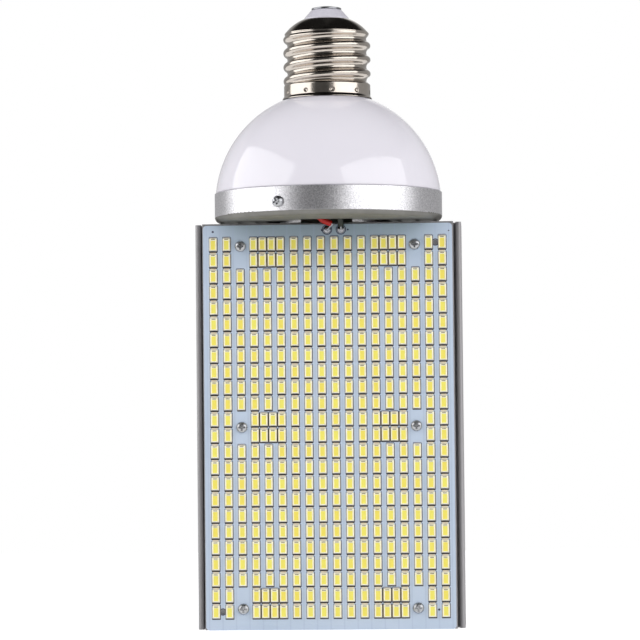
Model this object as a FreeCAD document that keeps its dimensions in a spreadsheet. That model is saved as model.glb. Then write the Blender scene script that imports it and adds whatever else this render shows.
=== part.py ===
import FreeCAD, Part
import Sketcher
import math
import os
import re

from FreeCAD import Vector

# LED retrofit street-lamp bulb with a large Edison cap, in millimetres.
# +Z runs up the lamp axis to the cap, the LED board faces -Y, and Z = 0 is the
# bottom end of the heat sink, straight below the cap.

# Driving dimensions, in millimetres. Turns are in degrees and counts have no unit.
SIZES = {
    # Heat sink
    "heat_sink_length": 180.8,  # length of the extrusion
    "plate_width": 112.0,  # base plate, across
    "plate_thickness": 4.0,  # base plate, front to back
    "plate_front": 12.4,  # base plate's front face, ahead of the lamp axis
    "side_wall": 3.0,  # wall that runs back from each edge of the plate
    "side_wall_depth": 9.6,  # how far that wall runs back behind the plate
    "web_thickness": 3.0,  # web from the side wall out to the wing
    "wing_gap": 1.0,  # groove between the side wall and the wing
    "wing_wall": 2.5,  # wing's wall at its front
    "wing_tip_wall": 1.9,  # wing's wall at its back edge
    "wing_lead": 6.0,  # how far the wing reaches ahead of its web
    "wing_round": 1.5,  # radius of the wing's round front edge
    "wing_back": 26.0,  # wing's back edge, behind the lamp axis
    "fin_count": 13,  # fins on the back of the plate
    "fin_margin": 8.0,  # outermost fins, in from the plate's edges
    "fin_root": 2.0,  # fin's wall at the plate
    "fin_tip": 1.3,  # fin's wall at its tip
    "fin_back": 28.0,  # fin tips, behind the lamp axis
    "port_radius": 4.2,  # screw port's wall, outside
    "port_bore": 1.65,  # screw port's bore, a tapping hole
    "port_fins": 3,  # fins from the middle one out to each screw port
    "port_front": 3.0,  # front pair of ports, behind the lamp axis
    "port_step": 16.0,  # from the front pair of ports to the back pair
    # LED board
    "board_side_gap": 0.5,  # from the board's side edges to the plate's
    "board_top_gap": 0.8,  # from the board's top edge to the plate's
    "board_thickness": 1.6,  # LED board, front to back
    "board_corner": 1.6,  # radius of the board's corners
    "board_hole": 1.7,  # radius of the board's screw holes
    "tooling_hole": 1.2,  # radius of the board's two tooling holes
    "board_screw_inset": 16.7,  # board screws, in from the board's side edges
    "board_screw_low": 9.4,  # outer pairs of board screws, in from the board's ends
    "led_column_pitch": 6.0,  # from column to column
    "led_row_pitch": 7.1,  # from row to row
    "led_side": 4.5,  # middle of the outermost columns, in from the board's edges
    "led_low": 8.2,  # middle of the lowest row, above the bottom
    "led_close_pitch": 4.0,  # four LEDs in the place of three, beside a screw
    "led_width": 3.0,  # LED package, across
    "led_height": 5.7,  # LED package, up
    "led_thickness": 0.9,  # LED package, off the board
    # Collar
    "collar_proud": 0.5,  # collar's outside, beyond the dome's border
    "collar_wall": 2.0,  # collar's wall
    "collar_floor": 3.0,  # collar's floor
    "collar_height": 12.8,  # collar's floor and wall together
    "collar_edge": 2.6,  # radius of the collar's bottom edge
    "boss_radius": 22.0,  # round boss under the collar that seats on the heat sink
    "boss_height": 1.0,  # how far the boss holds the collar off the heat sink
    "wire_slot_width": 23.0,  # slot for the two LED leads, across
    "wire_slot_depth": 17.6,  # slot for the two LED leads, front to back
    "wire_slot_reach": 9.0,  # how far the slot reaches back past the front of the board
    "floor_hole": 2.3,  # radius of the floor's holes for the end screws
    "collar_screw_count": 2,  # screws round the collar
    "collar_screw_turn": 22.6,  # first collar screw, in degrees from the front towards -X
    "collar_screw_up": 6.2,  # collar screws, above the collar's underside
    # Dome housing
    "dome_border": 50.6,  # dome's radius where it meets the collar
    "dome_swell": 0.2,  # how much larger the dome's sphere is than its border
    "dome_wall": 2.2,  # dome's wall
    "dome_skirt": 9.2,  # how far the dome's skirt reaches down inside the collar
    "fit_gap": 0.25,  # clearance between the housing and what it fits into
    "neck_wall": 1.8,  # neck's wall
    # Screw cap, the 40 mm Edison size
    "cap_crest": 19.65,  # thread's crest radius
    "thread_depth": 1.85,  # thread, from crest to root
    "thread_fade": 2.4,  # stretch at each end of the thread where it runs out
    "thread_phase": 37.0,  # turn of the thread about the axis, in degrees
    "cap_pitch": 6.35,  # thread's pitch
    "cap_wall": 0.55,  # sheet metal of the cap
    "skirt_inset": 0.2,  # smooth skirt below the thread, inside the crest radius
    "skirt_height": 5.8,  # smooth skirt below the thread, up
    "skirt_flare": 0.8,  # how far the skirt's bottom edge flares out
    "thread_height": 23.9,  # threaded stretch, up
    "shoulder_height": 6.2,  # shoulder above the thread, up
    "shoulder_bulge": 0.565,  # how full the shoulder's arc is, as a share of its rise
    "shoulder_inset": 8.25,  # where the shoulder turns in, inside the crest radius
    "mouth_inset": 10.05,  # cap's top opening, inside the crest radius
    "roll_step": 0.06,  # step at each end of the thread, where the rolls stopped
    "stake_count": 10,  # punch marks that stake the cap to the neck
    "stake_up": 2.3,  # punch marks, above the skirt's bottom edge
    "stake_ball": 1.1,  # radius of the punch that made the marks
    "stake_depth": 0.45,  # depth of the marks
    "stake_turn": 9.3,  # first mark, in degrees from the front towards +X
    # Insulator and centre contact
    "insulator_seat": 0.7,  # insulator's foot, beyond the cap's opening
    "insulator_taper": 3.4,  # how far its cone draws in up to the contact
    "insulator_height": 4.6,  # insulator's cone above the cap's mouth
    "insulator_plug": 5.0,  # insulator's stem inside the cap
    "contact_inset": 0.2,  # centre contact, inside the insulator's head
    "contact_rim": 0.9,  # centre contact's rim, up
    "contact_crown": 0.7,  # centre contact's crown above its rim
    "contact_flat": 3.0,  # radius of the crown's flat middle
    "contact_stem": 1.3,  # radius of the contact's stem
    "stem_proud": 1.0,  # stem's end, below the insulator
    # Screws
    "board_head": 2.45,  # board screw's head radius
    "board_head_height": 1.7,  # board screw's head, up
    "board_shank": 1.25,  # board screw's shank radius
    "board_shank_length": 5.0,  # board screw's shank under its head
    "collar_head": 2.5,  # collar screw's head radius
    "collar_head_height": 2.0,  # collar screw's head, out
    "collar_shank": 1.35,  # collar screw's shank radius
    "collar_shank_length": 6.0,  # collar screw's shank under its head
    "end_head": 3.4,  # end screw's head radius
    "end_head_height": 2.6,  # end screw's head, up
    "end_shank": 1.6,  # end screw's shank radius
    "end_shank_length": 14.0,  # end screw's shank under its head
    "recess_width": 0.8,  # cross recess, across one arm
    "recess_depth": 1.0,  # cross recess, into the head
    # Driver inside the housing
    "standoff_height": 7.0,  # pillars that hold the driver board
    "standoff_radius": 3.0,  # pillars, outside
    "standoff_inset": 5.0,  # pillars, in from the driver board's edge
    "driver_gap": 3.55,  # from the driver board's edge to the dome's skirt
    "driver_thickness": 1.6,  # driver board, up
    "driver_hole": 1.7,  # radius of the driver board's screw holes
    "driver_head": 2.6,  # driver screw's head radius
    "driver_head_height": 1.8,  # driver screw's head, up
    "driver_shank": 1.3,  # driver screw's shank radius
    "driver_shank_length": 6.0,  # driver screw's shank under its head
    "core_width": 28.0,  # transformer's core, across
    "core_depth": 12.0,  # transformer's core, front to back
    "core_height": 24.0,  # transformer's core, up
    "core_limb": 5.0,  # outer limbs and yokes of the core
    "core_back": 8.0,  # middle of the transformer, behind the lamp axis
    "winding_radius": 8.4,  # transformer's winding
    "bulk_radius": 8.0,  # smoothing capacitors
    "bulk_height": 26.0,  # smoothing capacitors, up
    "bulk_inset": 16.0,  # smoothing capacitors, in from the driver board's edge
    "bulk_front": 10.0,  # first one, ahead of the lamp axis
    "bulk_step": 19.0,  # from the first one back to the second
    "output_radius": 6.5,  # output capacitor
    "output_height": 24.0,  # output capacitor, up
    "output_inset": 17.0,  # output capacitor, in from the driver board's edge
    "output_front": 13.0,  # output capacitor, ahead of the lamp axis
    "choke_ring": 7.6,  # mains choke, mean radius of its ring
    "choke_section": 3.6,  # mains choke, radius of its section
    "choke_inset": 16.0,  # mains choke, in from the driver board's edge
    "choke_back": 9.0,  # mains choke, behind the lamp axis
    "film_width": 18.0,  # film capacitor, across
    "film_depth": 8.0,  # film capacitor, front to back
    "film_height": 15.0,  # film capacitor, up
    "film_front": 22.0,  # film capacitor, ahead of the lamp axis
    "bridge_width": 15.0,  # bridge rectifier, across
    "bridge_depth": 4.0,  # bridge rectifier, front to back
    "bridge_height": 11.0,  # bridge rectifier, up
    "bridge_gap": 3.0,  # from the film capacitor to the bridge rectifier
    "switch_width": 10.0,  # power transistor, across
    "switch_depth": 4.5,  # power transistor, front to back
    "switch_height": 15.0,  # power transistor, up
    "switch_back": 26.0,  # power transistor, behind the lamp axis
    "fuse_radius": 2.6,  # fuse
    "fuse_height": 9.0,  # fuse, up
    "fuse_side": 14.0,  # fuse, across
    "fuse_front": 30.0,  # fuse, ahead of the lamp axis
    "varistor_radius": 5.0,  # varistor's disc
    "varistor_thickness": 4.0,  # varistor's disc, through
    "varistor_side": 15.0,  # varistor, across
    "varistor_front": 28.0,  # varistor's front face, ahead of the lamp axis
    # Leads
    "led_lead_radius": 1.35,  # red and black leads to the LED board
    "mains_lead_radius": 0.9,  # leads from the cap to the driver board
    "strand_radius": 0.45,  # tinned strand at a lead's end
    "joint_radius": 1.8,  # solder joint on the LED board
    "joint_height": 1.0,  # solder joint, off the board
    "joint_drop": 3.2,  # solder joints, below the heat sink's top
    "positive_across": -0.1,  # red lead's joint, across
    "negative_across": 6.1,  # black lead's joint, across
}

doc = FreeCAD.newDocument("corn_led_bulb")
sheet = doc.addObject("Spreadsheet::Sheet", "Sizes")
for row, (alias, number) in enumerate(SIZES.items(), 1):
    sheet.set("A%d" % row, alias)
    sheet.set("B%d" % row, str(number))
    sheet.setAlias("B%d" % row, alias)
doc.recompute()


# Heights and depths that follow from the driving dimensions
BOARD_FRONT = "(plate_front + board_thickness)"
BOARD_WIDTH = "(plate_width - 2 * board_side_gap)"
BOARD_HEIGHT = "(heat_sink_length - board_top_gap)"
BOARD_SCREW_SIDE = "(plate_width / 2 - board_side_gap - board_screw_inset)"
FIN_PITCH = "((plate_width - 2 * fin_margin) / (fin_count - 1))"
PORT_SIDE = "(port_fins * %s)" % FIN_PITCH
COLLAR_RADIUS = "(dome_border + collar_proud)"
DOME_RADIUS = "(dome_border + dome_swell)"
COLLAR_FOOT = "(heat_sink_length + boss_height)"
FLOOR_TOP = "(heat_sink_length + boss_height + collar_floor)"
COLLAR_TOP = "(heat_sink_length + boss_height + collar_height)"
CAP_ROOT = "(cap_crest - thread_depth)"
SKIRT_RADIUS = "(cap_crest - skirt_inset)"
MOUTH_RADIUS = "(cap_crest - mouth_inset)"
INSULATOR_FOOT = "(%s + insulator_seat)" % MOUTH_RADIUS
INSULATOR_HEAD = "(%s - insulator_taper)" % INSULATOR_FOOT
CONTACT_RADIUS = "(%s - contact_inset)" % INSULATOR_HEAD
DOME_CENTRE = "(%s - sqrt(%s * %s - dome_border * dome_border))" % (
    COLLAR_TOP, DOME_RADIUS, DOME_RADIUS)
CAP_FOOT = "(%s + sqrt(%s * %s - %s * %s))" % (
    DOME_CENTRE, DOME_RADIUS, DOME_RADIUS, SKIRT_RADIUS, SKIRT_RADIUS)
THREAD_FOOT = "(%s + skirt_height)" % CAP_FOOT
THREAD_TOP = "(%s + thread_height)" % THREAD_FOOT
MOUTH = "(%s + shoulder_height)" % THREAD_TOP
CONTACT_FOOT = "(%s + insulator_height)" % MOUTH
DRIVER_FOOT = "(%s + standoff_height)" % FLOOR_TOP
DRIVER_TOP = "(%s + driver_thickness)" % DRIVER_FOOT
SPIGOT = "(%s - collar_wall - fit_gap)" % COLLAR_RADIUS
DRIVER_RADIUS = "(%s - dome_wall - driver_gap)" % SPIGOT
STANDOFF_CIRCLE = "(%s - standoff_inset)" % DRIVER_RADIUS
NECK = "(%s - cap_wall - fit_gap)" % SKIRT_RADIUS
NECK_TOP = "(%s - cap_wall - fit_gap)" % THREAD_FOOT


def bound(expression):
    """The expression with every alias read from the sheet."""
    return re.sub(r"[A-Za-z_]\w*", lambda found: (
        "Sizes." + found.group() if found.group() in SIZES else found.group()), expression)


def value(expression):
    """The number that an expression in the sheet's aliases has now."""
    return float(sheet.evalExpression(expression))


def tie(thing, prop, expression):
    """Bind a property to the sheet."""
    thing.setExpression(prop, bound(expression))


def new_body(name):
    """An empty body, labelled with the name of its node."""
    body = doc.addObject("PartDesign::Body", name)
    body.Label = name
    return body


def sketch_in(body, plane, name):
    """A sketch on one of the body's own origin planes."""
    sketch = body.newObject("Sketcher::SketchObject", name)
    support = next(one for one in body.Origin.OriginFeatures if one.Role == plane)
    sketch.AttachmentSupport = [(support, "")]
    sketch.MapMode = "FlatFace"
    return sketch


def pin_point(sketch, geometry, point, across, up):
    """Hold a sketch point at a place worked out from the sheet."""
    for kind, axis, expression in (("DistanceX", -2, across), ("DistanceY", -1, up)):
        if expression == "0":
            sketch.addConstraint(Sketcher.Constraint("PointOnObject", geometry, point, axis))
            continue
        index = sketch.addConstraint(
            Sketcher.Constraint(kind, -1, 1, geometry, point, value(expression)))
        sketch.setExpression("Constraints[%d]" % index, bound(expression))


def arc_between(start, end, radius, left):
    """The shorter arc from start to end, its centre on the left or right of the way."""
    chord = end - start
    middle = (start + end) * 0.5
    reach = math.sqrt(max(radius ** 2 - (chord.Length / 2) ** 2, 0.0))
    side = Vector(-chord.y, chord.x, 0).normalize() * (reach if left else -reach)
    centre = middle + side
    first, last = (start, end) if left else (end, start)
    angles = [math.atan2(one.y - centre.y, one.x - centre.x) for one in (first, last)]
    circle = Part.Circle(centre, Vector(0, 0, 1), radius)
    return Part.ArcOfCircle(circle, angles[0], angles[1])


def outline(sketch, corners):
    """A closed outline of (across, up) corners. A corner may add (side, radius) for an arc
    to the next corner, with its centre on the left or right of the way there."""
    places = [Vector(value(one[0]), value(one[1]), 0) for one in corners]
    ends = []
    for number, corner in enumerate(corners):
        start = places[number]
        end = places[(number + 1) % len(corners)]
        if len(corner) == 2:
            line = sketch.addGeometry(Part.LineSegment(start, end), False)
            ends.append((line, 1, 2))
            continue
        side, radius = corner[2:]
        left = side == "left"
        arc = sketch.addGeometry(arc_between(start, end, value(radius), left), False)
        ends.append((arc, 1, 2) if left else (arc, 2, 1))
        index = sketch.addConstraint(Sketcher.Constraint("Radius", arc, value(radius)))
        sketch.setExpression("Constraints[%d]" % index, bound(radius))
    for number, (geometry, first, last) in enumerate(ends):
        following, start, end = ends[(number + 1) % len(ends)]
        sketch.addConstraint(Sketcher.Constraint("Coincident", geometry, last, following, start))
    for (geometry, first, last), corner in zip(ends, corners):
        pin_point(sketch, geometry, first, corner[0], corner[1])


def rectangle(sketch, left, bottom, right, top):
    """A closed rectangle between two corners."""
    outline(sketch, [(left, bottom), (right, bottom), (right, top), (left, top)])


def ring(sketch, across, up, radius):
    """A circle about a place worked out from the sheet."""
    centre = Vector(value(across), value(up), 0)
    circle = sketch.addGeometry(Part.Circle(centre, Vector(0, 0, 1), value(radius)), False)
    pin_point(sketch, circle, 3, across, up)
    index = sketch.addConstraint(Sketcher.Constraint("Radius", circle, value(radius)))
    sketch.setExpression("Constraints[%d]" % index, bound(radius))


def pad(body, sketch, name, length):
    """Extrude a sketch along its normal."""
    feature = body.newObject("PartDesign::Pad", name)
    feature.Profile = sketch
    tie(feature, "Length", length)
    doc.recompute()
    return feature


def pocket(body, sketch, name, length, towards_normal=False):
    """Cut a sketch out of the body, against its normal or along it."""
    before = body.Shape.Volume
    feature = body.newObject("PartDesign::Pocket", name)
    feature.Profile = sketch
    feature.Reversed = towards_normal
    tie(feature, "Length", length)
    doc.recompute()
    assert body.Shape.Volume < before, name + " cuts nothing"
    return feature


def turned(name, corners):
    """A body turned about the lamp axis from an outline of (radius, height) corners."""
    body = new_body(name)
    sketch = sketch_in(body, "XZ_Plane", name + "_profile")
    outline(sketch, corners)
    feature = body.newObject("PartDesign::Revolution", name + "_turn")
    feature.Profile = sketch
    feature.ReferenceAxis = (sketch, ["V_Axis"])
    feature.Angle = 360
    doc.recompute()
    return body


def board_screw_heights():
    """Heights of the three pairs of board screws: near both ends and halfway."""
    return ["board_screw_low", BOARD_HEIGHT + " / 2", BOARD_HEIGHT + " - board_screw_low"]


def heat_sink():
    """Extruded heat sink: a plate for the board, thirteen fins behind it, a wing at each
    side set back from the plate, and four screw ports along the extrusion."""
    body = new_body("heat_sink")
    half = "plate_width / 2"
    plate_back = "(plate_thickness - plate_front)"
    web_front = "(plate_thickness - plate_front + side_wall_depth - web_thickness)"
    web_back = "(plate_thickness - plate_front + side_wall_depth)"
    length = "heat_sink_length"

    plate = sketch_in(body, "XY_Plane", "plate_section")
    rectangle(plate, "-" + half, "-plate_front", half, plate_back)
    pad(body, plate, "plate", length)

    wings = sketch_in(body, "XY_Plane", "wing_section")
    root = "(plate_thickness / 2 - plate_front)"
    round_depth = "(wing_round - sqrt(wing_round * wing_round - wing_wall * wing_wall / 4))"
    wing_front = "(%s - wing_lead + %s)" % (web_front, round_depth)
    for side in ("", "-"):
        def across(expression):
            return "%s(%s)" % (side, expression) if side else expression
        wall_in = across("plate_width / 2 - side_wall")
        wall_out = across(half)
        centre = "right" if side else "left"
        wing_in = across("plate_width / 2 + wing_gap")
        wing_out = across("plate_width / 2 + wing_gap + wing_wall")
        tip_in = across("plate_width / 2 + wing_gap + wing_wall - wing_tip_wall")
        outline(wings, [
            (wall_in, root), (wall_out, root), (wall_out, web_front), (wing_in, web_front),
            (wing_in, wing_front, centre, "wing_round"), (wing_out, wing_front),
            (wing_out, "wing_back"), (tip_in, "wing_back"), (tip_in, web_back),
            (wall_in, web_back)])
    pad(body, wings, "wings", length)

    fin = sketch_in(body, "XY_Plane", "fin_section")
    first = "(fin_margin - plate_width / 2)"
    fin_root = "(plate_thickness / 2 - plate_front)"
    outline(fin, [
        (first + " - fin_root / 2", fin_root), (first + " + fin_root / 2", fin_root),
        (first + " + fin_tip / 2", "fin_back", "left", "fin_tip * 0.6"),
        (first + " - fin_tip / 2", "fin_back")])
    fin_pad = pad(body, fin, "first_fin", length)
    row = body.newObject("PartDesign::LinearPattern", "fins")
    row.Originals = [fin_pad]
    row.Direction = (fin, ["H_Axis"])
    tie(row, "Length", "plate_width - 2 * fin_margin")
    tie(row, "Occurrences", "fin_count")
    body.Tip = row
    doc.recompute()

    ports = sketch_in(body, "XY_Plane", "port_section")
    bores = sketch_in(body, "XY_Plane", "port_bore_section")
    for side in ("", "-"):
        for back in ("port_front", "port_front + port_step"):
            ring(ports, side + PORT_SIDE, back, "port_radius")
            ring(bores, side + PORT_SIDE, back, "port_bore")
    pad(body, ports, "ports", length)
    pocket(body, bores, "port_bores", length, towards_normal=True)

    holes = sketch_in(body, "XZ_Plane", "tapped_holes_section")
    for side in ("", "-"):
        for height in board_screw_heights():
            ring(holes, side + BOARD_SCREW_SIDE, height, "board_shank")
    pocket(body, holes, "tapped_holes", "plate_front + 1", towards_normal=True)
    return body


def led_board():
    """Aluminium-cored board with rounded corners and six screw holes."""
    body = new_body("led_board")
    face = sketch_in(body, "XZ_Plane", "board_outline")
    right = BOARD_WIDTH + " / 2"
    inner = "(%s / 2 - board_corner)" % BOARD_WIDTH
    turn = "board_corner"
    top = BOARD_HEIGHT
    outline(face, [
        ("-" + inner, "0"), (inner, "0", "left", turn),
        (right, turn), (right, top + " - " + turn, "left", turn),
        (inner, top), ("-" + inner, top, "left", turn),
        ("-" + right, top + " - " + turn), ("-" + right, turn, "left", turn)])
    for side in ("", "-"):
        for height in board_screw_heights():
            ring(face, side + BOARD_SCREW_SIDE, height, "board_hole")
    between = "(%s / 2 - led_side - led_column_pitch / 2)" % BOARD_WIDTH
    ring(face, between, BOARD_HEIGHT + " - led_low - 0.05 * led_low", "tooling_hole")
    ring(face, "-" + between, "led_low", "tooling_hole")
    pad(body, face, "board", "board_thickness")
    tie(body, "Placement.Base.y", "-plate_front")
    return body


def led_places():
    """Middle of every LED on the board, as (across, up). Beside a screw the column at the
    screw is left out and the next three columns hold four LEDs, closer together."""
    pitch = value("led_column_pitch")
    close = value("led_close_pitch")
    row_pitch = value("led_row_pitch")
    column_count = int(value(BOARD_WIDTH + " - 2 * led_side") / pitch + 1.001)
    row_count = int(value(BOARD_HEIGHT + " - 2 * led_low") / row_pitch + 1.001)
    plain = [(number - (column_count - 1) / 2) * pitch for number in range(column_count)]
    screw = value(BOARD_SCREW_SIDE)
    crowded = [across for across in plain
               if abs(across) > screw + pitch / 2 or abs(across) < screw - 3.4 * pitch]
    middle = min(plain, key=lambda across: abs(across - screw)) - 2 * pitch
    for side in (-1, 1):
        crowded += [side * middle + step * close for step in (-1.5, -0.5, 0.5, 1.5)]
    places = []
    for row in range(row_count):
        height = value("led_low") + row * row_pitch
        beside_screw = any(abs(height - value(screw_height)) < 0.9 * row_pitch
                           for screw_height in board_screw_heights())
        for across in (crowded if beside_screw else plain):
            places.append((across, height))
    return places


def shape_node(name, shape):
    """A node whose shape is worked out with the functions above from the sheet."""
    feature = doc.addObject("Part::Feature", name)
    feature.Label = name
    feature.Shape = shape
    return feature


def leds():
    """Every LED package, standing on the board's front face."""
    width = value("led_width")
    height = value("led_height")
    thickness = value("led_thickness")
    front = -value(BOARD_FRONT) - thickness
    packages = []
    for across, up in led_places():
        corner = Vector(across - width / 2, front, up - height / 2)
        packages.append(Part.makeBox(width, thickness, height, corner))
    return shape_node("leds", Part.makeCompound(packages))


def pan_screw(kind):
    """One pan-head screw with a cross recess: head above Z = 0 and shank below it."""
    head = value(kind + "_head")
    height = value(kind + "_head_height")
    shank = value(kind + "_shank")
    length = value(kind + "_shank_length")
    width = value("recess_width")
    depth = value("recess_depth")
    rim = height * 0.35
    middle = Vector(head * 0.78, 0, height * 0.82)
    crown = Part.Arc(Vector(head, 0, rim), middle, Vector(0, 0, height)).toShape()
    corners = [Vector(0, 0, height), Vector(0, 0, -length), Vector(shank * 0.6, 0, -length),
               Vector(shank, 0, -length + shank * 0.6), Vector(shank, 0, 0), Vector(head, 0, 0),
               Vector(head, 0, rim)]
    profile = Part.Wire(Part.makePolygon(corners).Edges + [crown])
    solid = Part.Face(profile).revolve(Vector(), Vector(0, 0, 1), 360)
    reach = head * 0.62
    for long_way, short_way in ((reach, width / 2), (width / 2, reach)):
        corner = Vector(-long_way, -short_way, height - depth)
        solid = solid.cut(Part.makeBox(2 * long_way, 2 * short_way, depth * 2, corner))
    return solid


def placed(shape, spot, outward):
    """A copy of a shape whose own +Z points outward at a spot."""
    copy = shape.copy()
    copy.Placement = FreeCAD.Placement(spot, FreeCAD.Rotation(Vector(0, 0, 1), outward))
    return copy


def board_screws():
    """Six screws through the LED board into the heat sink's plate."""
    screw = pan_screw("board")
    front = -value(BOARD_FRONT)
    screws = []
    for height in board_screw_heights():
        for across in (-value(BOARD_SCREW_SIDE), value(BOARD_SCREW_SIDE)):
            spot = Vector(across, front, value(height))
            screws.append(placed(screw, spot, Vector(0, -1, 0)))
    return shape_node("board_screws", Part.makeCompound(screws))


def collar_angles():
    """Directions of the collar screws, in degrees from +X."""
    count = int(value("collar_screw_count"))
    return [-90 - value("collar_screw_turn") + number * 360 / count for number in range(count)]


def side_holes(body, name, outer, wall):
    """Bore the collar screws' holes through a round wall from its outside radius."""
    hole = body.newObject("PartDesign::SubtractiveCylinder", name + "_first")
    tie(hole, "Radius", "collar_shank")
    tie(hole, "Height", wall + " * 3")
    angle = math.radians(collar_angles()[0])
    outward = Vector(math.cos(angle), math.sin(angle), 0)
    spot = outward * (value(outer) - 2 * value(wall))
    spot += Vector(0, 0, value(COLLAR_FOOT + " + collar_screw_up"))
    hole.Placement = FreeCAD.Placement(spot, FreeCAD.Rotation(Vector(0, 0, 1), outward))
    doc.recompute()
    around = body.newObject("PartDesign::PolarPattern", name)
    around.Originals = [hole]
    axis = next(one for one in body.Origin.OriginFeatures if one.Role == "Z_Axis")
    around.Axis = (axis, [""])
    around.Angle = 360
    tie(around, "Occurrences", "collar_screw_count")
    body.Tip = around
    doc.recompute()
    return body


def collar():
    """Turned aluminium cup between the heat sink and the dome, with a boss under its floor."""
    outer = COLLAR_RADIUS
    inner = "(%s - collar_wall)" % COLLAR_RADIUS
    body = turned("collar", [
        ("0", "heat_sink_length"), ("boss_radius", "heat_sink_length"),
        ("boss_radius", COLLAR_FOOT), (outer + " - collar_edge", COLLAR_FOOT, "left",
                                       "collar_edge"),
        (outer, COLLAR_FOOT + " + collar_edge"), (outer, COLLAR_TOP), (inner, COLLAR_TOP),
        (inner, FLOOR_TOP), ("0", FLOOR_TOP)])

    slot = sketch_in(body, "XY_Plane", "wire_slot_section")
    back = "(wire_slot_reach - plate_front - board_thickness)"
    rectangle(slot, "-wire_slot_width / 2", back + " - wire_slot_depth",
              "wire_slot_width / 2", back)
    pocket(body, slot, "wire_slot", FLOOR_TOP + " + 1", towards_normal=True)

    screws = sketch_in(body, "XY_Plane", "floor_holes_section")
    for side in ("", "-"):
        for step in ("port_front", "port_front + port_step"):
            ring(screws, side + PORT_SIDE, step, "floor_hole")
    pocket(body, screws, "floor_holes", FLOOR_TOP + " + 1", towards_normal=True)

    return side_holes(body, "side_holes", outer, "collar_wall")


def collar_screws():
    """Screws through the collar's wall into the dome's skirt."""
    screw = pan_screw("collar")
    height = value(COLLAR_FOOT + " + collar_screw_up")
    screws = []
    for angle in collar_angles():
        outward = Vector(math.cos(math.radians(angle)), math.sin(math.radians(angle)), 0)
        spot = outward * value(COLLAR_RADIUS) + Vector(0, 0, height)
        screws.append(placed(screw, spot, outward))
    return shape_node("collar_screws", Part.makeCompound(screws))


def end_screws():
    """Four screws through the collar's floor into the heat sink's screw ports."""
    screw = pan_screw("end")
    screws = []
    for across in (-value(PORT_SIDE), value(PORT_SIDE)):
        for back in (value("port_front"), value("port_front + port_step")):
            spot = Vector(across, back, value(FLOOR_TOP))
            screws.append(placed(screw, spot, Vector(0, 0, 1)))
    return shape_node("end_screws", Part.makeCompound(screws))


def dome_housing():
    """Moulded white shell: a skirt inside the collar, a half-round dome, a neck in the cap."""
    inner = "(%s - dome_wall)" % DOME_RADIUS
    neck_in = "(%s - neck_wall)" % NECK
    shoulder_in = "(%s + sqrt(%s * %s - %s * %s))" % (
        DOME_CENTRE, inner, inner, neck_in, neck_in)
    skirt_in = "(%s - dome_wall)" % SPIGOT
    border_in = "(%s + sqrt(%s * %s - %s * %s))" % (
        DOME_CENTRE, inner, inner, skirt_in, skirt_in)
    body = turned("dome_housing", [
        (SPIGOT, COLLAR_TOP + " - dome_skirt"), (SPIGOT, COLLAR_TOP),
        ("dome_border", COLLAR_TOP, "left", DOME_RADIUS),
        (SKIRT_RADIUS, CAP_FOOT), (NECK, CAP_FOOT), (NECK, NECK_TOP), (neck_in, NECK_TOP),
        (neck_in, shoulder_in, "right", inner),
        (skirt_in, border_in), (skirt_in, COLLAR_TOP + " - dome_skirt")])
    return side_holes(body, "skirt_holes", SPIGOT, "dome_wall")


def thread_wave(phase):
    """Rolled thread's section, from 1 at a crest to -1 at a root, for a phase in turns.
    Crest and root are equal arcs that meet smoothly halfway."""
    pitch = value("cap_pitch")
    depth = value("thread_depth")
    radius = (pitch ** 2 / 16 + depth ** 2 / 4) / depth
    place = (phase % 1.0) * pitch
    place = min(place, pitch - place)
    at_crest = place <= pitch / 4
    along = place if at_crest else pitch / 2 - place
    rise = radius - depth / 2 - math.sqrt(radius ** 2 - along ** 2)
    return (-rise if at_crest else rise) * 2 / depth


def smooth_step(number):
    """0 below 0, 1 above 1, and a smooth rise between them."""
    number = min(max(number, 0.0), 1.0)
    return number * number * (3 - 2 * number)


def thread_face():
    """The cap's threaded face: a surface round the axis whose radius follows the thread's
    wave along a right-handed helix and fades out at both ends."""
    round_count = 24
    pitch_count = 20
    foot = value(THREAD_FOOT)
    height = value("thread_height")
    pitch = value("cap_pitch")
    mean = value("cap_crest - thread_depth / 2")
    depth = value("thread_depth") / 2
    end_radius = value(SKIRT_RADIUS + " - roll_step")
    phase = value("thread_phase") / 360
    fade_height = value("thread_fade")
    row_count = int(height / pitch * pitch_count)
    # A uniform cubic surface lies inside its poles by these known shares.
    round_share = (2 + math.cos(2 * math.pi / round_count)) / 3
    wave_share = (2 + math.cos(2 * math.pi / pitch_count)) / 3
    knots = [0] * 3 + list(range(row_count - 2)) + [row_count - 3] * 3
    poles = []
    # The second pole lies at the seam, which is put in the direction of +X.
    for turn_step in range(round_count):
        turn = (turn_step - 1) / round_count
        column = []
        for row in range(row_count):
            share = sum(knots[row + 1:row + 4]) / 3 / (row_count - 3)
            along = share * height
            foot_fade = smooth_step(along / fade_height)
            top_fade = smooth_step((height - along) / fade_height)
            base = end_radius + (mean - end_radius) * foot_fade
            wave = thread_wave(along / pitch - turn + phase) * depth * foot_fade * top_fade
            radius = (base + wave / wave_share) / round_share
            angle = 2 * math.pi * turn
            column.append(Vector(radius * math.cos(angle), radius * math.sin(angle),
                                 foot + along))
        poles.append(column)
    surface = Part.BSplineSurface()
    surface.buildFromPolesMultsKnots(
        poles, [1] * (round_count + 1), [4] + [1] * (row_count - 4) + [4],
        list(range(round_count + 1)), list(range(row_count - 2)), True, False, 3, 3)
    return surface.toShape()


def revolved(edges):
    """A solid turned about the lamp axis from the edges of a closed profile."""
    return Part.Face(Part.Wire(edges)).revolve(Vector(), Vector(0, 0, 1), 360)


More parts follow.
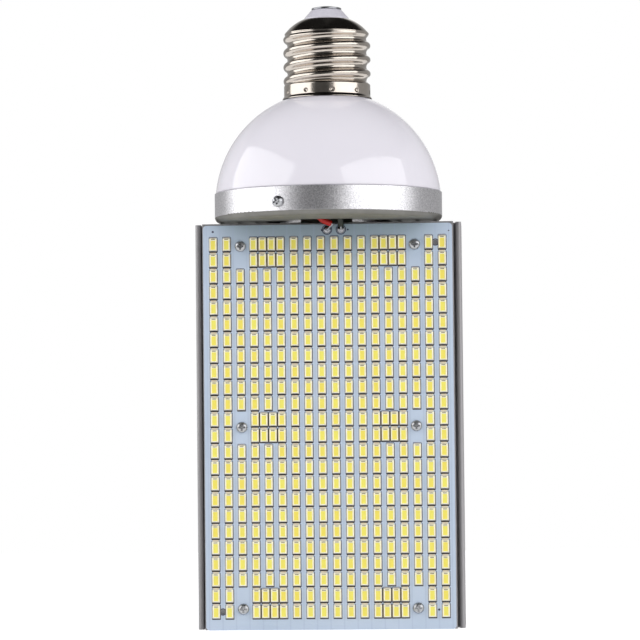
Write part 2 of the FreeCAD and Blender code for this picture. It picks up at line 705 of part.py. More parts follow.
def threaded_barrel():
    """The threaded stretch of the cap, with a plain bore."""
    face = thread_face()
    rims = [edge for edge in face.Edges if abs(edge.BoundBox.ZLength) < 0.001]
    ends = [Part.Face(Part.Wire([rim])) for rim in rims]
    solid = Part.Solid(Part.makeShell([face] + ends))
    # The faces come with mixed directions; this turns them all outwards.
    solid.fix(0.001, 0.001, 0.01)
    bore = Part.makeCylinder(value(CAP_ROOT + " - cap_wall"), value("thread_height") + 2,
                             Vector(0, 0, value(THREAD_FOOT) - 1))
    return solid.cut(bore)


def screw_shell():
    """Rolled sheet-metal cap: a threaded barrel, a smooth skirt with a flared edge and punch
    marks, and a round shoulder that turns in to the insulator."""
    skirt = value(SKIRT_RADIUS)
    wall = value("cap_wall")
    foot = value(CAP_FOOT)
    low = value(THREAD_FOOT)
    high = value(THREAD_TOP)
    mouth = value(MOUTH)
    top = value("cap_crest - thread_depth / 2 + roll_step")
    bore = value(CAP_ROOT) - wall
    flare = value("skirt_flare")
    shoulder = value("cap_crest - shoulder_inset")
    opening = value(MOUTH_RADIUS)
    rise = mouth - high
    bulge = value("shoulder_bulge")

    def at(radius, height):
        return Vector(radius, 0, height)

    def line(start, end):
        return Part.LineSegment(start, end).toShape()

    def arc(start, middle, end):
        return Part.Arc(start, middle, end).toShape()

    lip = foot + 2 * flare
    curl = foot + 0.8 * flare
    skirt_solid = revolved([
        line(at(bore, low), at(skirt, low)), line(at(skirt, low), at(skirt, lip)),
        arc(at(skirt, lip), at(skirt + flare * 0.3, curl), at(skirt + flare, foot)),
        line(at(skirt + flare, foot), at(skirt + flare - wall, foot)),
        arc(at(skirt + flare - wall, foot), at(skirt + flare * 0.3 - wall, curl),
            at(skirt - wall, lip)),
        line(at(skirt - wall, lip), at(skirt - wall, low - wall)),
        line(at(skirt - wall, low - wall), at(bore, low - wall)),
        line(at(bore, low - wall), at(bore, low))])
    inner_rise = rise - wall
    shoulder_solid = revolved([
        line(at(bore, high), at(top, high)),
        arc(at(top, high), at(shoulder + (top - shoulder) * bulge, high + rise * bulge),
            at(shoulder, mouth)),
        line(at(shoulder, mouth), at(opening, mouth)),
        line(at(opening, mouth), at(opening, mouth - wall)),
        line(at(opening, mouth - wall), at(shoulder, mouth - wall)),
        arc(at(shoulder, mouth - wall),
            at(shoulder + (bore - shoulder) * bulge, high + inner_rise * bulge),
            at(bore, high))])
    solid = threaded_barrel().fuse([skirt_solid, shoulder_solid])

    ball = value("stake_ball")
    count = int(value("stake_count"))
    for number in range(count):
        angle = math.radians(value("stake_turn") - 90 + number * 360 / count)
        reach = skirt + ball - value("stake_depth")
        spot = Vector(reach * math.cos(angle), reach * math.sin(angle),
                      foot + value("stake_up"))
        solid = solid.cut(Part.makeSphere(ball, spot))
    return shape_node("screw_shell", solid)


def cap_insulator():
    """Glazed cone between the cap and the centre contact, with a stem inside the cap."""
    return turned("cap_insulator", [
        ("contact_stem + fit_gap / 2", CONTACT_FOOT), ("contact_stem + fit_gap / 2",
                                                       MOUTH + " - insulator_plug"),
        (MOUTH_RADIUS + " - fit_gap", MOUTH + " - insulator_plug"),
        (MOUTH_RADIUS + " - fit_gap", MOUTH), (INSULATOR_FOOT, MOUTH),
        (INSULATOR_HEAD, CONTACT_FOOT)])


def centre_contact():
    """Nickel-plated contact: a disc with a low crown and a stem through the insulator."""
    run = "(%s - contact_flat)" % CONTACT_RADIUS
    crown = "((%s * %s + contact_crown * contact_crown) / (2 * contact_crown))" % (run, run)
    rim = CONTACT_FOOT + " + contact_rim"
    stem_end = MOUTH + " - insulator_plug - stem_proud"
    return turned("centre_contact", [
        ("0", stem_end), ("contact_stem", stem_end), ("contact_stem", CONTACT_FOOT),
        (CONTACT_RADIUS, CONTACT_FOOT), (CONTACT_RADIUS, rim, "left", crown),
        ("contact_flat", rim + " + contact_crown"), ("0", rim + " + contact_crown")])


def standoff_angles():
    """Directions of the four driver pillars, in degrees from +X."""
    return [45 + 90 * number for number in range(4)]


def standoff_place(angle):
    """Where a pillar stands, as two expressions."""
    across = "%s * %s" % (STANDOFF_CIRCLE, round(math.cos(math.radians(angle)), 6))
    back = "%s * %s" % (STANDOFF_CIRCLE, round(math.sin(math.radians(angle)), 6))
    return across, back


def driver_standoffs():
    """Four pillars on the collar's floor, each with a blind tapped hole."""
    pillar = Part.makeCylinder(value("standoff_radius"), value("standoff_height"))
    depth = value("driver_shank_length - driver_thickness") + 0.3
    hole = Part.makeCylinder(value("driver_shank"), depth,
                             Vector(0, 0, value("standoff_height") - depth))
    pillar = pillar.cut(hole)
    pillars = []
    for angle in standoff_angles():
        across, back = standoff_place(angle)
        spot = Vector(value(across), value(back), value(FLOOR_TOP))
        pillars.append(placed(pillar, spot, Vector(0, 0, 1)))
    return shape_node("driver_standoffs", Part.makeCompound(pillars))


def driver_board():
    """Round circuit board that carries the driver."""
    body = new_body("driver_board")
    face = sketch_in(body, "XY_Plane", "driver_board_outline")
    ring(face, "0", "0", DRIVER_RADIUS)
    for angle in standoff_angles():
        across, back = standoff_place(angle)
        ring(face, across, back, "driver_hole")
    pad(body, face, "driver_disc", "driver_thickness")
    tie(body, "Placement.Base.z", DRIVER_FOOT)
    return body


def driver_screws():
    """Four screws through the driver board into the pillars."""
    screw = pan_screw("driver")
    screws = []
    for angle in standoff_angles():
        across, back = standoff_place(angle)
        spot = Vector(value(across), value(back), value(DRIVER_TOP))
        screws.append(placed(screw, spot, Vector(0, 0, 1)))
    return shape_node("driver_screws", Part.makeCompound(screws))


def block(name, width, depth, height, across, back, up):
    """A box centred on (across, back) that stands at height up."""
    box = doc.addObject("Part::Box", name)
    tie(box, "Length", width)
    tie(box, "Width", depth)
    tie(box, "Height", height)
    tie(box, "Placement.Base.x", "%s - (%s) / 2" % (across, width))
    tie(box, "Placement.Base.y", "%s - (%s) / 2" % (back, depth))
    tie(box, "Placement.Base.z", up)
    return box


def rod(name, radius, height, across, back, up):
    """An upright cylinder."""
    cylinder = doc.addObject("Part::Cylinder", name)
    tie(cylinder, "Radius", radius)
    tie(cylinder, "Height", height)
    tie(cylinder, "Placement.Base.x", across)
    tie(cylinder, "Placement.Base.y", back)
    tie(cylinder, "Placement.Base.z", up)
    return cylinder


def joined(kind, name, base, tool):
    """A cut or a fuse of two objects."""
    result = doc.addObject("Part::" + kind, name)
    result.Label = name
    result.Base = base
    result.Tool = tool
    return result


def transformer():
    """Ferrite core with two windows, and the winding round its middle limb."""
    middle = "core_back"
    window = "core_height - 2 * core_limb"
    sill = DRIVER_TOP + " + core_limb"
    frame = block("core_block", "core_width", "core_depth", "core_height", "0", middle, DRIVER_TOP)
    inside = block("core_inside", "core_width - 2 * core_limb", "core_depth + 2", window, "0",
                   middle, sill)
    limb = block("core_limb_block", "core_limb", "core_depth", window, "0", middle, sill)
    core = joined("Fuse", "transformer_core", joined("Cut", "core_frame", frame, inside), limb)
    wire = rod("winding_block", "winding_radius", window, "0", middle, sill)
    former = block("winding_bore", "core_limb", "core_depth", window, "0", middle, sill)
    winding = joined("Cut", "transformer_winding", wire, former)
    return [core, winding]


def bulk_capacitors():
    """Two upright smoothing capacitors."""
    across = "bulk_inset - " + DRIVER_RADIUS
    front = rod("front_can", "bulk_radius", "bulk_height", across, "-bulk_front", DRIVER_TOP)
    rear = rod("rear_can", "bulk_radius", "bulk_height", across, "bulk_step - bulk_front",
               DRIVER_TOP)
    return joined("Fuse", "bulk_capacitors", front, rear)


def output_capacitor():
    """Upright capacitor on the LED side of the driver."""
    can = rod("output_capacitor", "output_radius", "output_height",
              DRIVER_RADIUS + " - output_inset", "-output_front", DRIVER_TOP)
    can.Label = "output_capacitor"
    return can


def line_choke():
    """Mains choke, a wound ring that lies on the driver board."""
    torus = doc.addObject("Part::Torus", "line_choke")
    torus.Label = "line_choke"
    tie(torus, "Radius1", "choke_ring")
    tie(torus, "Radius2", "choke_section")
    tie(torus, "Placement.Base.x", DRIVER_RADIUS + " - choke_inset")
    tie(torus, "Placement.Base.y", "choke_back")
    tie(torus, "Placement.Base.z", DRIVER_TOP + " + choke_section")
    return torus


def small_parts():
    """The remaining parts that stand on the driver board."""
    film = block("film_capacitor", "film_width", "film_depth", "film_height", "0",
                 "-film_front", DRIVER_TOP)
    bridge_place = "(0 - film_front - (film_depth + bridge_depth) / 2 - bridge_gap)"
    bridge = block("bridge_rectifier", "bridge_width", "bridge_depth", "bridge_height", "0",
                   bridge_place, DRIVER_TOP)
    switch = block("power_transistor", "switch_width", "switch_depth", "switch_height", "0",
                   "switch_back", DRIVER_TOP)
    fuse = rod("fuse", "fuse_radius", "fuse_height", "-fuse_side", "-fuse_front", DRIVER_TOP)
    varistor = doc.addObject("Part::Cylinder", "varistor")
    tie(varistor, "Radius", "varistor_radius")
    tie(varistor, "Height", "varistor_thickness")
    tie(varistor, "Placement.Base.x", "varistor_side")
    tie(varistor, "Placement.Base.y", "-varistor_front")
    tie(varistor, "Placement.Base.z", DRIVER_TOP + " + varistor_radius")
    varistor.Placement.Rotation = FreeCAD.Rotation(Vector(1, 0, 0), 90)
    parts = [film, bridge, switch, fuse, varistor]
    for part in parts:
        part.Label = part.Name
    return parts


def lead_tube(name, points, radius):
    """A round lead along straight runs joined by tangent arcs, each as large as its two runs
    allow. Its volume is compared with its section times its length."""
    edges = []
    start = points[0]
    for number in range(1, len(points) - 1):
        corner = points[number]
        back = points[number - 1] - corner
        ahead = points[number + 1] - corner
        reach = 0.45 * min(back.Length, ahead.Length)
        turn = math.pi - back.getAngle(ahead)
        bend = reach / math.tan(turn / 2)
        print("%s bend %d radius %.1f mm" % (name, number, bend))
        first = corner + Vector(back).normalize() * reach
        last = corner + Vector(ahead).normalize() * reach
        inward = (Vector(back).normalize() + Vector(ahead).normalize()).normalize()
        centre = corner + inward * (bend / math.cos(turn / 2))
        middle = centre - inward * bend
        edges.append(Part.LineSegment(start, first).toShape())
        edges.append(Part.Arc(first, middle, last).toShape())
        start = last
    edges.append(Part.LineSegment(start, points[-1]).toShape())
    path = Part.Wire(edges)
    section = Part.Wire([Part.makeCircle(radius, points[0], points[1] - points[0])])
    tube = path.makePipeShell([section], True, False)
    expected = math.pi * radius ** 2 * path.Length
    assert abs(tube.Volume - expected) < 0.01 * expected, name + " has a wrong volume"
    return tube


def led_lead_points(across, sweep, end_height):
    """Route of a lead from the driver board, down through the collar's slot, to the board.
    The lead leaves the slot at across and comes sweep further over at its end."""
    top = value(DRIVER_FOOT)
    under = value("heat_sink_length")
    slot_front = -value(BOARD_FRONT) - value("led_lead_radius")
    slot_height = under + 1.3 + 0.4 * end_height
    return [Vector(across - 1.0, slot_front - 4.0, top),
            Vector(across - 1.0, slot_front - 4.0, under + 6.0),
            Vector(across + 0.35 * sweep, slot_front - 2.3, slot_height),
            Vector(across + sweep, slot_front - 0.5, under + end_height)]


def leads():
    """The red and black leads to the LED board, and the two leads from the cap."""
    thick = value("led_lead_radius")
    red = led_lead_points(value("positive_across") - 4.6, 6.4, -0.6)
    black = led_lead_points(value("negative_across"), 0.1, -1.4)
    thin = value("mains_lead_radius")
    board = value(DRIVER_TOP)
    stem_end = value(MOUTH) - value("insulator_plug + stem_proud")
    neck_top = value(NECK_TOP)
    wall = value(CAP_ROOT + " - cap_wall") - thin
    live = [Vector(0, 0, stem_end), Vector(0, 0, stem_end - 14), Vector(-3, -8, stem_end - 34),
            Vector(-8, -11, stem_end - 54), Vector(-8, -11, board)]
    neck = value(NECK + " - neck_wall")
    neutral = [Vector(wall, 0, neck_top + 16), Vector(wall, 0, neck_top + 8),
               Vector(0.82 * neck, -3, neck_top - 6), Vector(0.6 * neck, -9, neck_top - 22),
               Vector(0.53 * neck, -11, board + 14), Vector(0.53 * neck, -11, board)]
    return [shape_node("positive_lead", lead_tube("positive_lead", red, thick)),
            shape_node("negative_lead", lead_tube("negative_lead", black, thick)),
            shape_node("live_lead", lead_tube("live_lead", live, thin)),
            shape_node("neutral_lead", lead_tube("neutral_lead", neutral, thin))], red, black


def solder_joints(red, black):
    """Two domed joints on the LED board, each with the tinned strand of its lead."""
    front = -value(BOARD_FRONT)
    height = value("joint_height")
    radius = value("joint_radius")
    strand = value("strand_radius")
    ball = (radius ** 2 + height ** 2) / (2 * height)
    joints = []
    for across, route in ((value("positive_across"), red), (value("negative_across"), black)):
        spot = Vector(across, front, value("heat_sink_length - joint_drop"))
        cap = Part.makeSphere(ball, spot + Vector(0, ball - height, 0))
        keep = Part.makeBox(4 * ball, height, 4 * ball,
                            spot + Vector(-2 * ball, -height, -2 * ball))
        joint = cap.common(keep)
        end = route[-1]
        ahead = (route[-1] - route[-2]).normalize()
        knee = end + ahead * 0.9
        crown = spot + Vector(0, -0.4 * height, 0)
        tail = crown - knee
        joint = joint.fuse(Part.makeCylinder(strand, 0.9, end, ahead))
        joint = joint.fuse(Part.makeSphere(strand, knee))
        joint = joint.fuse(Part.makeCylinder(strand, tail.Length, knee, tail))
        joints.append(joint)
    return shape_node("solder_joints", Part.makeCompound(joints))


solid_nodes = [heat_sink(), led_board(), leds(), board_screws(), collar(), collar_screws(),
               end_screws(), dome_housing(), screw_shell(), cap_insulator(), centre_contact(),
               driver_standoffs(), driver_board(), driver_screws(), bulk_capacitors(),
               output_capacitor(), line_choke()]
solid_nodes += transformer() + small_parts()
lead_nodes, red_route, black_route = leads()
nodes = solid_nodes + lead_nodes + [solder_joints(red_route, black_route)]
doc.recompute()

for thing in doc.Objects:
    faulty = [state for state in thing.State if state in ("Invalid", "Error")]
    assert not faulty, "%s is %s" % (thing.Label, faulty)
for node in nodes:
    assert not node.Shape.isNull(), node.Label + " is empty"
    assert node.Shape.isValid(), node.Label + " is not valid"

os.makedirs("parts", exist_ok=True)
for node in nodes:
    node.Shape.exportStep("parts/%s.step" % node.Label)
    print("%s: %d solids, %.0f mm3" % (node.Label, len(node.Shape.Solids), node.Shape.Volume))
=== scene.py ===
import math

import bmesh
import bpy
import numpy as np
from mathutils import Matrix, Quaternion, Vector


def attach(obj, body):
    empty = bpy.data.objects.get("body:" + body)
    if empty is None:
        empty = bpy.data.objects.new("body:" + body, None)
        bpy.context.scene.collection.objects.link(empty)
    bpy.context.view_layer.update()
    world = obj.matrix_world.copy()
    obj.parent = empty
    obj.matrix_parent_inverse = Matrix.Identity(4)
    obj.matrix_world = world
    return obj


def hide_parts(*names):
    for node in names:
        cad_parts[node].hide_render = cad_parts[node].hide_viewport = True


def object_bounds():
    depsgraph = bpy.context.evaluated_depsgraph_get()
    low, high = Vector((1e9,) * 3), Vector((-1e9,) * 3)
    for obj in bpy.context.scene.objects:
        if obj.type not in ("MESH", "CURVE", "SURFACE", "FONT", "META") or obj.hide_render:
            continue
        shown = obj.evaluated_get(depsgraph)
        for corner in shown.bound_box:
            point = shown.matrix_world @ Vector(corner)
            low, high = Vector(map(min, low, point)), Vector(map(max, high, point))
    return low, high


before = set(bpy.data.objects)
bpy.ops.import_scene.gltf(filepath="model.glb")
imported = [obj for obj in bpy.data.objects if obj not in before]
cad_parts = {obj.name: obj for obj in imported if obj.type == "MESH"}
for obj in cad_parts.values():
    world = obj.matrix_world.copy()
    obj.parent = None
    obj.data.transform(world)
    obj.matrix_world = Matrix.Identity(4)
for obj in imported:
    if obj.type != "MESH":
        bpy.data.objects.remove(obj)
cad_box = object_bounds()


# Studio: a pale floor under the lamp, a white surround and two raised softboxes, one on
# each side. The surround is dark in a band straight ahead, where a studio is open, and
# polished metal shows that band as its dark core.
# Strengths with 1 as white: the surround's light on matt surfaces, and the floor's glow.
WORLD_FILL = 0.54
FLOOR_GLOW = 0.55
FLOOR_HALF = 0.85
# Camera: its distance and aim in millimetres, its turn, tilt and roll in degrees.
VIEW_DISTANCE = 1350
VIEW_AIM = (-3.9, -8.0, 137.6)
VIEW_TURN = 3.0
VIEW_TILT = -2.1
VIEW_ROLL = 0.58
VIEW_LENS = 170.0
SENSOR_WIDTH = 36
LAMP_AIM = (0, 0, 150)
LAMP_DISTANCE = 1200
# Turns from the front in degrees, with how bright the surround is there: white behind the
# lamp, grey at its sides and dark ahead of it.
SURROUND = [(-180, 1.0), (-176, 1.0), (-168, 0.42), (-60, 0.43), (-40, 0.30), (-29, 0.09),
            (5, 0.09), (14, 0.30), (60, 0.42), (168, 0.42), (176, 1.0), (180, 1.0)]
# Each softbox: turn and tilt in degrees, width and height in metres, and watts.
SOFTBOXES = {"right_softbox": (55, 21, 1.60, 0.84, 8.4),
             "left_softbox": (-76, 22, 1.70, 0.92, 9.4)}


def linear(code):
    """sRGB hex to linear light: below 0.04045 over 12.92, above it a power of 2.4."""
    share = np.array([int(code[at:at + 2], 16) for at in (1, 3, 5)]) / 255
    low = share / 12.92
    high = ((share + 0.055) / 1.055) ** 2.4
    return (*np.where(share <= 0.04045, low, high).tolist(), 1.0)


def add(tree, kind, settings, links):
    """One node: its settings by name, its sockets by name or number, each a value or a link."""
    node = tree.nodes.new(kind)
    for name, value in settings.items():
        setattr(node, name, value)
    for key, value in links.items():
        if isinstance(value, bpy.types.NodeSocket):
            tree.links.new(value, node.inputs[key])
        else:
            node.inputs[key].default_value = value
    return node


def two_tone(tree, share, first, second):
    """Two colours, each a hex code or another node's colour, mixed by a share from 0 to 1."""
    first, second = (linear(one) if isinstance(one, str) else one for one in (first, second))
    return add(tree, "ShaderNodeMix", {"data_type": "RGBA"}, {
        0: share, 6: first, 7: second}).outputs[2]


def aimed(target, distance, turn, tilt):
    """Place at a distance from a target, turned from the front towards +X and tilted up."""
    turn, tilt = math.radians(turn), math.radians(tilt)
    away = Vector((math.sin(turn) * math.cos(tilt), -math.cos(turn) * math.cos(tilt),
                   math.sin(tilt)))
    return Vector(target) / 1000 + away * distance / 1000, away


scene = bpy.context.scene
scene.view_settings.view_transform = "Standard"

camera = bpy.data.objects.new("camera", bpy.data.cameras.new("camera"))
camera.data.lens = VIEW_LENS
camera.data.sensor_width = SENSOR_WIDTH
camera.data.clip_end = 50
camera.location, away = aimed(VIEW_AIM, VIEW_DISTANCE, VIEW_TURN, VIEW_TILT)
roll = Quaternion((0, 0, 1), math.radians(-VIEW_ROLL))
camera.rotation_mode = "QUATERNION"
camera.rotation_quaternion = (-away).to_track_quat("-Z", "Y") @ roll
scene.collection.objects.link(camera)
scene.camera = camera

world = bpy.data.worlds.new("white_surround")
scene.world = world
world.use_nodes = True
tree = world.node_tree
tree.nodes.clear()
path = add(tree, "ShaderNodeLightPath", {}, {})
direction = add(tree, "ShaderNodeTexCoord", {}, {}).outputs["Generated"]
split = add(tree, "ShaderNodeSeparateXYZ", {}, {0: direction})
ahead = add(tree, "ShaderNodeMath", {"operation": "MULTIPLY"}, {0: split.outputs[1], 1: -1.0})
turned = add(tree, "ShaderNodeMath", {"operation": "ARCTAN2"}, {
    0: split.outputs[0], 1: ahead.outputs[0]})
round_share = add(tree, "ShaderNodeMapRange", {}, {
    "Value": turned.outputs[0], "From Min": -math.pi, "From Max": math.pi})
studio = add(tree, "ShaderNodeValToRGB", {}, {"Fac": round_share.outputs[0]})
stops = studio.color_ramp.elements
for number, (turn, shade) in enumerate(SURROUND):
    place = (turn + 180) / 360
    stop = stops[number] if number < 2 else stops.new(place)
    stop.position = place
    stop.color = (shade, shade, shade, 1)
ceiling = add(tree, "ShaderNodeMapRange", {"interpolation_type": "SMOOTHSTEP"}, {
    "Value": split.outputs[2], "From Min": 0.42, "From Max": 0.64, "To Min": 1.0, "To Max": 0.03})
band = add(tree, "ShaderNodeMath", {"operation": "MULTIPLY"}, {
    0: studio.outputs["Color"], 1: ceiling.outputs[0]})
mirror = add(tree, "ShaderNodeMath", {"operation": "MAXIMUM"}, {
    0: path.outputs["Is Glossy Ray"], 1: path.outputs["Is Transmission Ray"]})
unseen = add(tree, "ShaderNodeMix", {}, {0: mirror.outputs[0], 2: WORLD_FILL, 3: band.outputs[0]})
level = add(tree, "ShaderNodeMix", {}, {
    0: path.outputs["Is Camera Ray"], 2: unseen.outputs[0], 3: 1.0})
glow = add(tree, "ShaderNodeBackground", {}, {"Color": (1, 1, 1, 1), "Strength": level.outputs[0]})
add(tree, "ShaderNodeOutputWorld", {}, {"Surface": glow.outputs[0]})

for name, (turn, tilt, width, height, watts) in SOFTBOXES.items():
    lamp = bpy.data.lights.new(name, "AREA")
    lamp.shape = "RECTANGLE"
    lamp.size = width
    lamp.size_y = height
    lamp.energy = watts
    box = bpy.data.objects.new(name, lamp)
    box.location, away = aimed(LAMP_AIM, LAMP_DISTANCE, turn, tilt)
    box.rotation_mode = "QUATERNION"
    box.rotation_quaternion = away.to_track_quat("Z", "Y")
    scene.collection.objects.link(box)

floor_mesh = bpy.data.meshes.new("floor")
floor_mesh.from_pydata([(x * FLOOR_HALF, y * FLOOR_HALF, 0) for x, y in (
    (-1, -1), (1, -1), (1, 1), (-1, 1))], [], [(0, 1, 2, 3)])
floor = bpy.data.objects.new("floor", floor_mesh)
scene.collection.objects.link(floor)
# Matt white board: the glow that the camera and mirrors see lifts it to the surround's white,
# and the lamp's shadow still shows in what it reflects.
floor_finish = bpy.data.materials.new("matt_white_board")
floor_finish.use_nodes = True
tree = floor_finish.node_tree
tree.nodes.clear()
path = add(tree, "ShaderNodeLightPath", {}, {})
grain = add(tree, "ShaderNodeTexNoise", {}, {
    "Vector": add(tree, "ShaderNodeTexCoord", {}, {}).outputs["Object"], "Scale": 400.0})
shade = two_tone(tree, grain.outputs["Fac"], "#E9E9EA", "#EFEFEF")
matt = add(tree, "ShaderNodeBsdfDiffuse", {}, {"Color": shade})
seen = add(tree, "ShaderNodeMath", {"operation": "MAXIMUM"}, {
    0: path.outputs["Is Glossy Ray"], 1: path.outputs["Is Transmission Ray"]})
seen = add(tree, "ShaderNodeMath", {"operation": "MAXIMUM"}, {
    0: path.outputs["Is Camera Ray"], 1: seen.outputs[0]})
lift = add(tree, "ShaderNodeMath", {"operation": "MULTIPLY"}, {0: seen.outputs[0], 1: FLOOR_GLOW})
glow = add(tree, "ShaderNodeEmission", {}, {"Color": (1, 1, 1, 1), "Strength": lift.outputs[0]})
both = add(tree, "ShaderNodeAddShader", {}, {0: matt.outputs[0], 1: glow.outputs[0]})
add(tree, "ShaderNodeOutputMaterial", {}, {"Surface": both.outputs[0]})
floor_mesh.materials.append(floor_finish)


# Screw cap: brass sheet, drawn, rolled to the 40 mm Edison thread and nickel-plated. Its skirt
# is slipped over the housing's neck and staked there by a ring of punch marks.
CAP_FOOT = 237.026
SKIRT_RADIUS = 19.45
SKIRT_HEIGHT = 5.8
SKIRT_FLARE = 0.8
CAP_WALL = 0.55
THREAD_CREST = 19.65
THREAD_ROOT = 17.8
THREAD_PITCH = 6.35
THREAD_HEIGHT = 23.9
THREAD_FADE = 2.4
THREAD_PHASE = 37 / 360
SHOULDER_HEIGHT = 6.2
SHOULDER_RADIUS = 11.4
SHOULDER_FOOT = 19.0
SHOULDER_BULGE = 0.565
MOUTH_RADIUS = 9.6
STAKE_COUNT = 10
STAKE_UP = 2.8
STAKE_DEPTH = 0.45
STAKE_TURN = 9.3
MARK_RADIUS = 0.9
# Painted shade: a faint darkening in the thread's roots, and a dark ring round each mark that
# outlines its dent.
ROOT_SHADE = 0.04
MARK_SHADE_RING = 2.5
# Rows of the mesh up each stretch, and columns round the lamp axis.
FLARE_ROWS = 8
SKIRT_ROWS = 40
THREAD_ROWS = 121
SHOULDER_ROWS = 21
CAP_COLUMNS = 360
SKIN_ROWS = FLARE_ROWS + SKIRT_ROWS
THREAD_FOOT = CAP_FOOT + SKIRT_HEIGHT
THREAD_TOP = THREAD_FOOT + THREAD_HEIGHT
MOUTH = THREAD_TOP + SHOULDER_HEIGHT


def lay_mesh(name, points, faces, slot, finishes):
    """A smooth mesh piece from points in millimetres, at the origin, riding on the lamp."""
    mesh = bpy.data.meshes.new(name)
    mesh.from_pydata((np.asarray(points, float) / 1000).tolist(), [], np.asarray(faces).tolist())
    piece = bpy.data.objects.new(name, mesh)
    scene.collection.objects.link(piece)
    for finish in finishes:
        mesh.materials.append(finish)
    mesh.polygons.foreach_set("use_smooth", np.ones(len(mesh.polygons), bool))
    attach(piece, "root")
    return piece


def new_finish(name):
    """A material: itself, its tree, its shader and where a point lies on its piece."""
    finish = bpy.data.materials.new(name)
    finish.use_nodes = True
    tree = finish.node_tree
    where = add(tree, "ShaderNodeTexCoord", {}, {}).outputs["Object"]
    return finish, tree, tree.nodes["Principled BSDF"], where


def bumps(tree, height, strength, distance):
    """Small bumps from a height between 0 and 1, over a distance in metres."""
    return add(tree, "ShaderNodeBump", {}, {
        "Strength": strength, "Distance": distance, "Height": height}).outputs[0]


def dress(tree, shader, colour, gloss, skin):
    """Gives the shader its colour, its roughness and its bumps."""
    tree.links.new(colour, shader.inputs["Base Color"])
    tree.links.new(gloss, shader.inputs["Roughness"])
    tree.links.new(skin, shader.inputs["Normal"])


def woven_grid(grid):
    """Quads over a grid of points, rows along the first axis and rings closed on the second:
    each quad joins a point, its neighbour round, the one above that and the one above it."""
    rows, columns = grid.shape[:2]
    number = np.arange(rows * columns).reshape(rows, columns)
    beside = np.roll(number, -1, axis=1)
    quads = np.stack([number[:-1], beside[:-1], beside[1:], number[1:]], axis=-1)
    return grid.reshape(-1, 3), quads.reshape(-1, 4)


def smooth_step(number):
    """0 below 0, 1 above 1, three squares less two cubes between."""
    number = np.clip(number, 0, 1)
    return number * number * (3 - 2 * number)


def thread_wave(phase):
    """Rolled thread's section, 1 at a crest and -1 at a root: two equal arcs that meet halfway,
    each the height of a circle of radius r at the place along the pitch."""
    depth = THREAD_CREST - THREAD_ROOT
    radius = (THREAD_PITCH ** 2 / 16 + depth ** 2 / 4) / depth
    place = (phase % 1.0) * THREAD_PITCH
    place = np.minimum(place, THREAD_PITCH - place)
    at_crest = place <= THREAD_PITCH / 4
    along = np.where(at_crest, place, THREAD_PITCH / 2 - place)
    rise = radius - depth / 2 - np.sqrt(radius ** 2 - along ** 2)
    return np.where(at_crest, -rise, rise) * 2 / depth


def close_seams(piece):
    """Joins points that coincide, such as the ring of points at a pole."""
    shape = bmesh.new()
    shape.from_mesh(piece.data)
    bmesh.ops.remove_doubles(shape, verts=shape.verts, dist=1e-7)
    shape.to_mesh(piece.data)
    shape.free()


def flare_arc(start, end, count):
    """Smooth step from one radius to another, as radii and shares of the height."""
    share = np.linspace(0, 1, count)
    return start + (end - start) * smooth_step(share), share


def arc_through(start, middle, end, count):
    """Points on the circle through three points: its centre is where the lines that halve the
    two chords squarely meet."""
    start, middle, end = (np.array(corner, float) for corner in (start, middle, end))
    chords = np.array([middle - start, end - middle])
    halves = np.array([start + middle, middle + end]) / 2
    centre = np.linalg.solve(chords, (chords * halves).sum(axis=1))
    off = np.array([start, middle, end]) - centre
    angle = np.unwrap(np.arctan2(off[:, 1], off[:, 0]))
    sweep = np.linspace(angle[0], angle[2], count)
    return centre + np.hypot(*off[0]) * np.stack([np.cos(sweep), np.sin(sweep)], axis=-1)


flare_radius, flare_share = flare_arc(SKIRT_RADIUS + SKIRT_FLARE, SKIRT_RADIUS, FLARE_ROWS)
flare_height = CAP_FOOT + flare_share * 2 * SKIRT_FLARE
skirt_height = np.linspace(CAP_FOOT + 2 * SKIRT_FLARE, THREAD_FOOT, SKIRT_ROWS + 1)[1:]
thread_height = np.linspace(THREAD_FOOT, THREAD_TOP, THREAD_ROWS + 1)[1:]
shoulder_radius, shoulder_height = arc_through(
    (SHOULDER_FOOT, THREAD_TOP),
    (SHOULDER_RADIUS + (SHOULDER_FOOT - SHOULDER_RADIUS) * SHOULDER_BULGE,
     THREAD_TOP + SHOULDER_HEIGHT * SHOULDER_BULGE),
    (SHOULDER_RADIUS, MOUTH), SHOULDER_ROWS + 1)[1:].T
# The lip turns in over the insulator and ends at the sheet's cut edge. The inside is a plain
# bore.
lip_radius = np.array([10.6, 10.0, MOUTH_RADIUS + 0.12, MOUTH_RADIUS, MOUTH_RADIUS])
lip_height = MOUTH + np.array([0, 0, -0.03, -0.15, -CAP_WALL])
bore = THREAD_ROOT - CAP_WALL
inside_radius = np.array([bore - 2.5, bore, bore, SKIRT_RADIUS - CAP_WALL, SKIRT_RADIUS - CAP_WALL,
                          SKIRT_RADIUS + SKIRT_FLARE - CAP_WALL, SKIRT_RADIUS + SKIRT_FLARE])
inside_height = np.array([MOUTH - 2.2, THREAD_TOP, THREAD_FOOT - CAP_WALL, THREAD_FOOT - CAP_WALL,
                          CAP_FOOT + 2 * SKIRT_FLARE, CAP_FOOT, CAP_FOOT])
profile_height = np.concatenate([flare_height, skirt_height, thread_height, shoulder_height,
                                 lip_height, inside_height])
profile_radius = np.concatenate([
    flare_radius, np.full(SKIRT_ROWS, SKIRT_RADIUS), np.full(THREAD_ROWS, np.nan),
    shoulder_radius, lip_radius, inside_radius])
around = np.linspace(0, 2 * math.pi, CAP_COLUMNS + 1)[:-1]
along = thread_height - THREAD_FOOT
foot_fade = smooth_step(along / THREAD_FADE)
fade = foot_fade * smooth_step((THREAD_HEIGHT - along) / THREAD_FADE)
mean = (THREAD_CREST + THREAD_ROOT) / 2
base = SKIRT_RADIUS + (mean - SKIRT_RADIUS) * foot_fade
wave = thread_wave(along[:, None] / THREAD_PITCH - around[None, :] / (2 * math.pi) + THREAD_PHASE)
